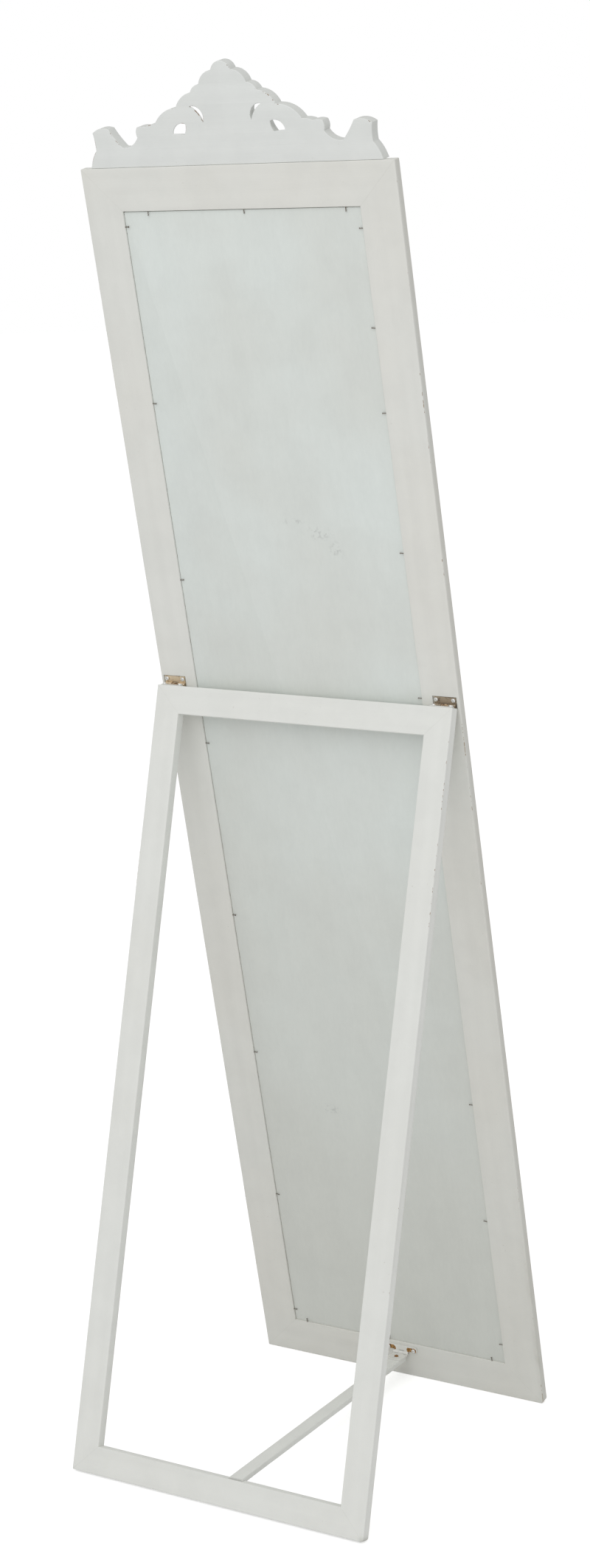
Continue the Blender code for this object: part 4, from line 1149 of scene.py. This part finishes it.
# ---- Crest ----------------------------------------------------------------------------------
@dataclass
class Crest:
    """The carved crest: a pierced board with a shell and two leaf scrolls on its front."""

    foot: float
    recess: float = 2 * MM
    thickness: float = 15 * MM
    edge_radius: float = 1.1 * MM
    # How far painted shade darkens the crest's walls between their arrises.
    wall_shade: float = 0.2
    fine: int = 14

    def outline(self) -> Array:
        """The scalloped outline, from its lower +X corner up over the top and down."""
        steps = (
            ((198, 21.5), -1.5),
            ((199.5, 43.5), 0.8),
            ((175, 47.5), -3.2),
            ((158, 24.8), 0.8),
            ((133.5, 36.2), 4.2),
            ((132.5, 48.5), -1.6),
            ((119, 48.9), -1.0),
            ((105, 51.5), -0.9),
            ((71.5, 70), -5.0),
            ((47.5, 87.5), -4.0),
            ((34, 97), -2.4),
            ((14, 113), -4.2),
        )
        half = outline_of((209, 0.25), steps, self.fine)
        shoulder = half[-1]
        rise = 123.5 * MM - shoulder[1]
        cap = bowed(shoulder, shoulder * (-1, 1), -rise, 3 * self.fine)[:-1]
        return np.concatenate((half, cap, half[::-1] * (-1, 1)))

    def piercings(self) -> list[tuple[Array, Array]]:
        """Two crescents and two D-shaped holes: the outline at the back and that at the front.

        Each step is an end and how far the side bows. The holes widen to the front, most of all
        away from the shell, which makes the crest look thin.
        """
        crescent = (
            ((50.5, 71), (((34.4, 52.5), -7), ((50.5, 71), 2.6))),
            ((59.5, 68.5), (((43, 48.5), -20.5), ((59.5, 68.5), -2))),
        )
        d_shape = (
            ((80, 39), (((60.5, 50), -5.5), ((64, 37.8), -1.2), ((80, 39), 0.2))),
            ((91, 36.5), (((55, 53), -10), ((63, 36), -1.2), ((91, 36.5), 0.2))),
        )
        holes = []
        for levels in (crescent, d_shape):
            back, front = (outline_of(start, steps, self.fine)[1:] for start, steps in levels)
            holes += [(back, front), (back * (-1, 1), front * (-1, 1))]
        return holes

    def wall(self, shell: Shell, back: Array, front: Array, inward: float) -> tuple[Array, Array]:
        """Carries the board's edge profile round a closed loop.

        The loop goes over from its back to its front shape below a short straight wall. Each
        ring is moved along its normal by r * (1 - sin a) while its depth changes by
        r * (1 - cos a), so both edges are rounded by r, and by less along the foot.

        Args:
            shell: the mesh that takes the wall.
            back: (points, 2) across and up, at the crest's back.
            front: the same points at its front.
            inward: 1 where the loop's left side is timber, -1 where it is air.

        Returns:
            The vertex indices of the back and of the front ring.
        """
        normal = unit_normal(np.roll(back, -1, axis=0) - np.roll(back, 1, axis=0)) * inward
        crisp = 1 - 0.8 * near(back[:, 1], 0.0, 2 * MM)
        angle = np.radians(np.linspace(0, 90, 6))
        rounded, lowered = (1 - np.sin(angle))[:, None], (1 - np.cos(angle))[:, None]
        share = np.array([0.03, 0.3, 0.62])[:, None]
        radius = self.edge_radius * crisp[None]
        move = np.concatenate((rounded, 0 * share, rounded[::-1])) * radius
        middle = radius + share * (self.thickness - 2 * radius)
        far = self.thickness - lowered[::-1] * radius
        depth = -self.recess - np.concatenate((lowered * radius, middle, far))
        flare = np.concatenate((0 * rounded, share - share[0], 1 + 0 * rounded))
        placed = back[None] + flare[..., None] * (front - back)[None] + move[..., None] * normal
        uneven = 0.2 * MM * ripple(running_length(back), seed=2.0)[None, :, None] * normal[None]
        placed = placed + uneven * (move[..., None] < self.edge_radius * 0.9) * crisp[:, None]
        across, up = placed[..., 0], placed[..., 1]
        edge = near(depth, -self.recess - 0.3 * MM, 0.8 * MM)
        edge = edge + near(depth, -self.recess - self.thickness + 0.3 * MM, 0.8 * MM)
        edge[[0, -1]] = 0.0
        worn = np.clip(edge, 0, 1) * smooth_step(up, 2 * MM, 8 * MM)
        inside = np.minimum(-depth - self.recess, depth + self.recess + self.thickness)
        # Painted shade on the walls, darker than the lit back and front.
        soil = self.wall_shade * smooth_step(inside, 0.4 * MM, 1.2 * MM)
        first, count = shell.count, len(back)
        rings = join(across, depth, self.foot + up)
        shell.loft(rings, join(across, up + depth), caps=False, edge=worn, soil=soil)
        return first + np.arange(count), shell.count - count + np.arange(count)

    def board(self) -> None:
        """The pierced board, rounded at all its edges."""
        shell = Shell()
        outline = refine(self.outline(), 2.5 * MM)
        backs, fronts = zip(
            self.wall(shell, outline, outline, 1.0),
            *(self.wall(shell, *hole, self.turning(hole[0])) for hole in self.piercings()),
        )
        shell.fill(backs)
        shell.fill(fronts)
        self.finish(shell, "crest_board", smooth=50)

    def finish(self, shell: Shell, name: str, smooth: float) -> None:
        """Builds a piece of the crest in place of its CAD node."""
        made = shell.build(f"painted_{name}", MIRROR, smooth)
        finish_piece(made, "mirror", (CREST_PAINT,), (name,))

    @staticmethod
    def turning(loop: Array) -> float:
        """-1 for a hole drawn anticlockwise and 1 for one drawn clockwise, by signed area."""
        x, y = loop.T
        return -math.copysign(1.0, np.sum(x * np.roll(y, -1) - np.roll(x, -1) * y))

    def shell_relief(self) -> None:
        """The shell: seven fluted lobes that fan out from a hub, on a waisted foot.

        The surface runs from the hub to the contour, p = hub + s * (contour - hub), and stands
        off by a dome of s with a flute for each lobe.
        """
        hub = np.array([0, 77 * MM])
        lobes, radius, spread = 7, 21 * MM, math.radians(210)
        rim_angle = math.pi / 2 + spread / 2 - spread * np.arange(lobes + 1) / lobes
        rim = np.array([0, 82 * MM]) + radius * join(np.cos(rim_angle), np.sin(rim_angle))
        foot = np.array([8, 52]) * MM
        loop = np.concatenate(
            [
                rim[:1],
                *(bowed(first, second, 2.6 * MM, 12) for first, second in zip(rim, rim[1:])),
                bowed(rim[-1], foot, -4 * MM, 10),
                bowed(foot, foot * (-1, 1), 4 * MM, 10),
                bowed(foot * (-1, 1), rim[0], -4 * MM, 10)[:-1],
            ]
        )
        s = np.array([0.03, 0.1, 0.2, 0.32, 0.45, 0.58, 0.7, 0.8, 0.88, 0.94, 0.98, 1.0])[:, None]
        offset = loop - hub
        angle = np.arctan2(offset[:, 1], offset[:, 0])[None]
        turn = np.angle(np.exp(1j * (angle - math.pi / 2)))
        flute = np.abs(np.sin((turn + spread / 2) / spread * lobes * math.pi)) ** 0.6
        fan = smooth_step(spread / 2 - np.abs(turn), -0.15, 0.1)
        dome = 1.6 * MM + 3.2 * MM * np.sqrt(np.clip(1 - (2 * s - 1.1) ** 2 / 1.3, 0, 1))
        height = dome + 1.5 * MM * fan * (flute - 0.6) * smooth_step(s, 0.15, 0.6)
        height = height + 2.4 * MM * near(s, 0.0, 0.16)
        height = height * np.sqrt(np.clip(1.04 - s**8, 0, 1))
        base = 0.2 * MM - self.recess - self.thickness
        top = join(hub[0] + s * offset[:, 0], base - height, self.foot + hub[1] + s * offset[:, 1])
        under = top[::-1].copy()
        under[..., 1] = base + 0.4 * MM
        rings = np.concatenate((top, under))
        high = np.concatenate((height, 0 * height))
        # Painted shade in the flutes between the lobes.
        soil = 0.7 * np.concatenate((fan * (1 - flute) * smooth_step(s, 0.2, 0.5), 0 * height))
        edge = smooth_step(high, 4.6 * MM, 6.0 * MM)
        shell = Shell()
        shell.loft(rings, rings[..., (2, 0)], edge=edge, soil=np.clip(soil, 0, 1))
        self.finish(shell, "crest_shell", smooth=60)

    def scroll_relief(self, side: Side) -> None:
        """A leaf scroll: a lobed leaf on a stem that curls up at its outer end.

        Its middle line rises as a sine and then winds in a spiral. Across it, from -1 to 1, the
        leaf stands off as (1 - v^2)^0.5 with a groove beside its midrib, and its width swells
        once for each lobe.
        """
        start, eye, curl = np.array([30, 28]) * MM, np.array([182, 22]) * MM, 9 * MM
        leaf_end, lobes = 0.72, 6
        share = np.linspace(0, 1, 70, endpoint=False)
        x = start[0] + (eye[0] - start[0]) * share
        y = start[1] + (eye[1] - curl - start[1]) * share + 3 * MM * np.sin(np.pi * share)
        wind = np.linspace(0, 1, 46)
        angle = np.radians(-90 + 330 * wind)
        reach = curl * (1 - 0.62 * wind)
        spiral = eye + reach[:, None] * join(np.cos(angle), np.sin(angle))
        path = np.concatenate((join(x, y), spiral))
        normal = unit_normal(np.gradient(path, axis=0))
        length = running_length(path)
        u = length / length[-1]
        leaf = np.sin(np.pi * np.clip(u / leaf_end, 0, 1)) ** 0.7
        swell = 0.72 + 0.28 * np.abs(np.sin(u / leaf_end * lobes * np.pi))
        width = 1.6 * MM + 5.0 * MM * leaf * swell * (u < leaf_end)
        width = width + 1.2 * MM * smooth_step(u, leaf_end, 0.8)
        width = width * (1 - 0.45 * smooth_step(u, 0.85, 1.0))
        v = np.sin(np.linspace(-math.pi / 2, math.pi / 2, 19))
        lift = np.sqrt(np.clip(1 - v**2, 0, 1)) ** 0.8
        groove = 0.35 * near(np.abs(v), 0.28, 0.12) * leaf[:, None]
        veins = 0.10 * np.sin(u[:, None] / leaf_end * 24 * np.pi - 5 * np.abs(v)) * leaf[:, None]
        tall = (2.2 + 2.4 * leaf)[:, None] * MM
        height = tall * (lift * (1 - groove) + veins * (1 - v**2))
        base = 0.2 * MM - self.recess - self.thickness
        placed = path[:, None] + (width[:, None] * v)[..., None] * normal[:, None]
        top = join(side.value[0] * placed[..., 0], base - height, self.foot + placed[..., 1])
        under = top[:, ::-1][:, 1:-1].copy()
        under[..., 1] = base + 0.4 * MM
        rings = np.concatenate((top, under), axis=1)
        zero = np.zeros(under.shape[:2])
        edge = np.concatenate((0.8 * near(v, 0, 0.18) + 0 * height, zero), axis=1)
        # Painted shade in the grooves beside the midrib.
        soil = np.concatenate((0.5 * groove / 0.35, zero), axis=1)
        shell = Shell()
        uv = join(length[:, None], rings[..., 2])
        shell.loft(rings, uv, edge=edge, soil=np.clip(soil, 0, 1))
        self.finish(shell, f"crest_scroll_{side.name.lower()}", smooth=70)

    def build(self) -> None:
        """The whole crest."""
        self.board()
        self.shell_relief()
        for side in (Side.LEFT, Side.RIGHT):
            self.scroll_relief(side)
            dress_node(f"crest_dowel_{side.name.lower()}", PEG_WOOD)


# ---- Turned pieces --------------------------------------------------------------------------
def turned_rings(profile: Array, steps: int) -> Array:
    """A profile of (radius, height) turned about local Z: (r cos a, r sin a, h)."""
    angle = np.linspace(0, 2 * math.pi, steps, endpoint=False)
    radius, height = profile[:, :1], profile[:, 1:]
    return join(radius * np.cos(angle), radius * np.sin(angle), height)


def pointed(rings: Array, axis: Axis, where: Array, spin: float = 0.0) -> Array:
    """Rings about local Z, spun by an angle, turned to point along an axis and moved."""
    turn = Vector((0, 0, 1)).rotation_difference(Vector(axis.value)).to_matrix()
    turn = np.array(turn @ Matrix.Rotation(spin, 3, "Z"))
    return rings @ turn.T + where


def drive(rings: Array, node: str, local: LocalFrame, body: str, look: Look) -> None:
    """Builds a turned fastener in place of its CAD node."""
    shell = Shell()
    shell.loft(rings, rings[..., :2])
    finish_piece(shell.build(f"driven_{node}", local, smooth=45), body, (look,), (node,))


@dataclass
class Screw:
    """A pan-head wood screw with a cross recess."""

    head: float = 2.9 * MM
    crown: float = 1.7 * MM
    recess_depth: float = 1.1 * MM
    arm_length: float = 1.75 * MM
    arm_width: float = 0.42 * MM
    shank: float = 1.3 * MM

    def rings(self, length: float) -> Array:
        """Head and shank. The crown is lowered inside the cross, |x| or |y| within an arm."""
        crown_radius = np.array([0.05, 0.2, 0.35, 0.5, 0.7, 0.9, 1.1, 1.3, 1.5, 1.7, 1.9, 2.1]) * MM
        dome = join(crown_radius, self.crown - 0.05 * crown_radius**2 / self.head)
        shoulder = arc((2.1 * MM, self.crown - 0.95 * MM), 0.8 * MM, 85, 0, 6)
        down = [
            (self.head, 0.25 * MM),
            (self.head - 0.05 * MM, 0.0),
            (self.shank, 0.0),
            (self.shank, -0.72 * length),
            (0.12 * MM, -length),
        ]
        rings = turned_rings(np.concatenate((dome, shoulder, down)), 48)
        x, y, z = np.moveaxis(rings, -1, 0)
        cross = np.maximum(self.arm(x, y), self.arm(y, x))
        rings[..., 2] = z - self.recess_depth * cross * (z > 0.4 * self.crown)
        return rings

    def arm(self, across: Array, along: Array) -> Array:
        """1 inside one arm of the recess, falling to 0 at its edges."""
        slim, reach = self.arm_width, self.arm_length
        inside = 1 - smooth_step(np.abs(across), slim, slim + 0.15 * MM)
        return inside * (1 - smooth_step(np.abs(along), reach - 0.5 * MM, reach))

    def build(self, node: str, local: LocalFrame, axis: Axis, body: str, spin: float) -> None:
        """Stands a screw where the CAD has one: its crown at the high end of the node's box."""
        low, high = local.box(node)
        direction = np.array(axis.value)
        where = np.where(direction > 0.5, high - self.crown, (low + high) / 2)
        length = float((high - low) @ direction) - self.crown
        rings = pointed(self.rings(length), axis, where, spin)
        drive(rings, node, local, body, ZINC)


@dataclass
class Brad:
    """A wire brad with a small flat head, driven into the rebate's wall."""

    wire: float = 0.55 * MM
    head: float = 0.9 * MM
    tilt: float = 0.5 * MM

    def build(self, node: str, axis: Axis, seed: int) -> None:
        """Stands a brad where the CAD has one, pointing out of the wall and a little bent."""
        low, high = MIRROR.box(node)
        direction = np.array(axis.value)
        length = float(np.abs((high - low) @ direction))
        where = (low + high) / 2 - direction * length / 2
        profile = [
            (0.05 * MM, 0.0),
            (self.wire, 1.2 * MM),
            (self.wire, length * 0.6),
            (self.wire, length - 0.8 * MM),
            (self.head, length - 0.45 * MM),
            (self.head, length - 0.05 * MM),
            (self.head - 0.15 * MM, length),
            (0.05 * MM, length),
        ]
        rings = turned_rings(np.array(profile), 16)
        rings[..., 0] += (rings[..., 2] / length) ** 3 * self.tilt * math.sin(2.4 * seed)
        drive(pointed(rings, axis, where), node, MIRROR, "mirror", BRAD_STEEL)


# ---- Hardware -------------------------------------------------------------------------------
@dataclass
class ButtHinge:
    """One of the two small butt hinges between the mirror and the stand."""

    side: Side
    plate: PlatedMetal
    bare_spots: int = 7

    def build(self) -> None:
        """Dresses the leaves and the pin and drives the four screws.

        The stand's leaf was painted over, but its knuckles have stayed bare along the pin.
        """
        side = self.side.name.lower()
        low, high = map(np.array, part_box(f"butt_pin_{side}"))
        share = np.linspace(0, 1, self.bare_spots)[:, None]
        centres = (low + high) / 2 + (share - 0.5) * (high - low) * (1, 0, 0)
        knuckles = OverpaintedPlate(
            f"stand_leaf_{side}_paint",
            plate=(0.60, 0.46, 0.30),
            chips=tuple(tuple(map(float, centre)) for centre in centres),
            reach=6.5 * MM,
            amount=1.1,
        )
        dress_node(f"frame_leaf_{side}", self.plate)
        dress_node(f"stand_leaf_{side}", knuckles)
        dress_node(f"butt_pin_{side}", PIN_BRASS)
        for number, which in enumerate(("outer", "inner")):
            spin = 0.5 + 1.1 * number + 0.3 * self.side.value[0]
            Screw().build(f"frame_screw_{side}_{which}", MIRROR, Axis.OUT, "mirror", spin)
            Screw().build(f"stand_screw_{side}_{which}", STAND, Axis.UP, "stand", spin)


@dataclass
class Brace:
    """The prop brace: a flat painted bar under a T hinge."""

    paint: PaintedTimber
    edge_radius: float = 0.8 * MM
    end_play: float = 4 * MM

    def bar(self) -> None:
        """The bar: a rectangle with quarter-round edges carried along a straight line.

        It stops short of the housing's end, because it slides outwards as it lifts out.
        """
        low, high = BRACE.box("brace_bar")
        half, deep, r = high[0], high[2] - low[2], self.edge_radius
        parts = [
            arc((half - r, -r), r, 90, 0, 4),
            arc((half - r, r - deep), r, 0, -90, 4),
            arc((r - half, r - deep), r, -90, -180, 4),
            arc((r - half, -r), r, 180, 90, 4),
        ]
        section = refine(np.concatenate(parts), 3 * MM)
        y = np.linspace(low[1], high[1] - self.end_play, 60)[:, None]
        across = section[:, 0] + 0.15 * MM * ripple(y * 0.8, seed=5.0)
        up = section[:, 1] + 0.10 * MM * ripple(y * 0.7, seed=7.5)
        edge = 0.6 * near(np.abs(section[:, 0]), half, 0.5 * MM)
        shell = Shell()
        shell.loft(join(across, y, up), join(y, running_length(section)), edge=edge)
        made = shell.build("painted_brace_bar", BRACE, smooth=50)
        finish_piece(made, "brace", (self.paint,), ("brace_bar",))

    def build(self) -> None:
        """The bar, its peg and the T hinge, whose paint has chipped round its screws."""
        self.bar()
        dress_node("brace_peg", PEG_WOOD)
        dress_node("t_hinge_pin", PIN_BRASS)
        chips = []
        for side, towards_strap in (("left", -1), ("right", 1)):
            low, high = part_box(f"t_hinge_screw_{side}")
            middle = (low + high) / 2
            for away in (0, 4 * MM, 7 * MM):
                chips.append((middle.x + towards_strap * away, middle.y, middle.z))
        cross = OverpaintedPlate(
            "t_hinge_paint", plate=(0.60, 0.33, 0.10), chips=tuple(chips), reach=8 * MM, amount=0.85
        )
        low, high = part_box("strap_screw")
        hole = ((low.x + high.x) / 2, (low.y + high.y) / 2, high.z)
        strap = OverpaintedPlate("strap_paint", chips=(hole,), reach=4.2 * MM, amount=0.35)
        dress_node("t_hinge_cross", cross)
        dress_node("t_hinge_strap", strap)
        for side, spin in (("left", 0.4), ("right", 1.2)):
            Screw().build(f"t_hinge_screw_{side}", MIRROR, Axis.OUT, "mirror", spin)
        dress_node("strap_screw", OverpaintedPlate("strap_screw_paint", chips=(hole,), amount=0.5))


# ---- Studio ---------------------------------------------------------------------------------
@dataclass
class Studio:
    """A pale floor, soft light from above and a camera behind the mirror."""

    eye: tuple[float, float, float] = (-1.9084, 3.1092, 1.6226)
    yaw: float = math.radians(148.305)
    pitch: float = math.radians(-11.179)
    roll: float = math.radians(-1.180)
    lens: float = 65.77
    sensor: float = 36.0
    floor_radius: float = 40.0

    def camera(self) -> None:
        """The camera. Forward is (sin yaw cos pitch, cos yaw cos pitch, sin pitch)."""
        data = bpy.data.cameras.new("camera")
        data.sensor_fit = "VERTICAL"
        data.sensor_height = self.sensor
        data.lens = self.lens
        data.clip_start = 0.05
        level = math.cos(self.pitch)
        forward = Vector(
            (math.sin(self.yaw) * level, math.cos(self.yaw) * level, math.sin(self.pitch))
        )
        right = forward.cross(Vector((0, 0, 1))).normalized()
        up = right.cross(forward)
        c, s = math.cos(self.roll), math.sin(self.roll)
        right, up = c * right + s * up, c * up - s * right
        made = linked("camera", data)
        turn = Matrix((right, up, -forward)).transposed().to_4x4()
        made.matrix_world = Matrix.Translation(self.eye) @ turn
        bpy.context.scene.camera = made

    def light(self, name: str, power: float, size: float, place: Point, aim: Point) -> None:
        """A square soft light that looks at a point."""
        data = bpy.data.lights.new(name, "AREA")
        data.energy = power
        data.size = size
        turn = (Vector(aim) - Vector(place)).to_track_quat("-Z", "Y").to_matrix().to_4x4()
        linked(name, data).matrix_world = Matrix.Translation(place) @ turn

    def surroundings(self, seen: float, cast: float) -> None:
        """An even white surround, as bright as seen to the camera and as cast to the object."""
        world = bpy.data.worlds.new("studio")
        world.use_nodes = True
        graph = Graph(world.node_tree)
        direct = graph.put("LightPath")["Is Camera Ray"]
        strength = graph.math("MULTIPLY_ADD", direct, seen - cast, cast)
        inputs = {"Color": (1.0, 1.0, 1.0, 1.0), "Strength": strength}
        graph.feed(world.node_tree.nodes["Background"], inputs)
        bpy.context.scene.world = world

    def floor(self) -> None:
        """A round floor at the height on which the mirror stands."""
        angle = np.linspace(0, 2 * math.pi, 96, endpoint=False)
        rim = self.floor_radius * join(np.cos(angle), np.sin(angle), 0.0)
        mesh = bpy.data.meshes.new("floor")
        mesh.from_pydata(rim, [], [list(range(len(rim)))])
        mesh.materials.append(FLOOR.material())
        made = linked("floor", mesh)

    def build(self) -> None:
        """Sets up the studio."""
        bpy.context.scene.view_settings.view_transform = "Standard"
        self.camera()
        self.surroundings(seen=1.0, cast=0.66)
        self.light("key", 68.0, 4.2, (-0.7, 3.7, 4.1), (0.0, 0.0, 1.1))
        self.floor()


# ---- The whole mirror -----------------------------------------------------------------------
def members(prefix: str) -> dict[Side, str]:
    """The CAD names of a frame's four members."""
    kinds = ("stile_left", "stile_right", "rail_top", "rail_bottom")
    return {side: f"{prefix}_{kind}" for side, kind in zip(Side, kinds)}


def measured(local: LocalFrame, prefix: str) -> tuple[float, float]:
    """Width and height of a rectangular frame, from its CAD rails."""
    low, high = local.box(f"{prefix}_rail_top")
    foot, _ = local.box(f"{prefix}_rail_bottom")
    return float(high[0] - low[0]), float(high[2] - foot[2])


def build_mirror() -> None:
    """Frame, crest, glass, board and brads."""
    width, height = measured(MIRROR, "mirror")
    timber = MirrorFrame(MIRROR, "mirror", width, height, FRAME_PAINT, seed=0.4)
    timber.build(members("mirror"))
    Crest(foot=height).build()
    dress_node("mirror_glass", GLASS)
    BackingBoard((width - 2 * timber.rail, height - 2 * timber.rail), timber.rail).build()
    rows = {"left": Axis.BACK_ACROSS, "right": Axis.ACROSS, "top": Axis.DOWN, "bottom": Axis.UP}
    for side, axis in rows.items():
        names = sorted(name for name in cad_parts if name.startswith(f"brad_{side}_"))
        for number, name in enumerate(names, 1):
            Brad().build(name, axis, number)


def build_stand() -> None:
    """The rear stand and its hinges."""
    width, height = measured(STAND, "stand")
    StandFrame(STAND, "stand", width, height, LIT_STAND_PAINT, seed=3.3).build(members("stand"))
    ButtHinge(Side.LEFT, LEAF_BRASS).build()
    # The right leaf in painted shade.
    ButtHinge(Side.RIGHT, SHADED_LEAF).build()


def main() -> None:
    """Builds the mirror, the stand, the brace and the studio."""
    build_mirror()
    build_stand()
    Brace(LIT_STAND_PAINT).build()
    Studio().build()


if __name__ == "__main__":
    main()
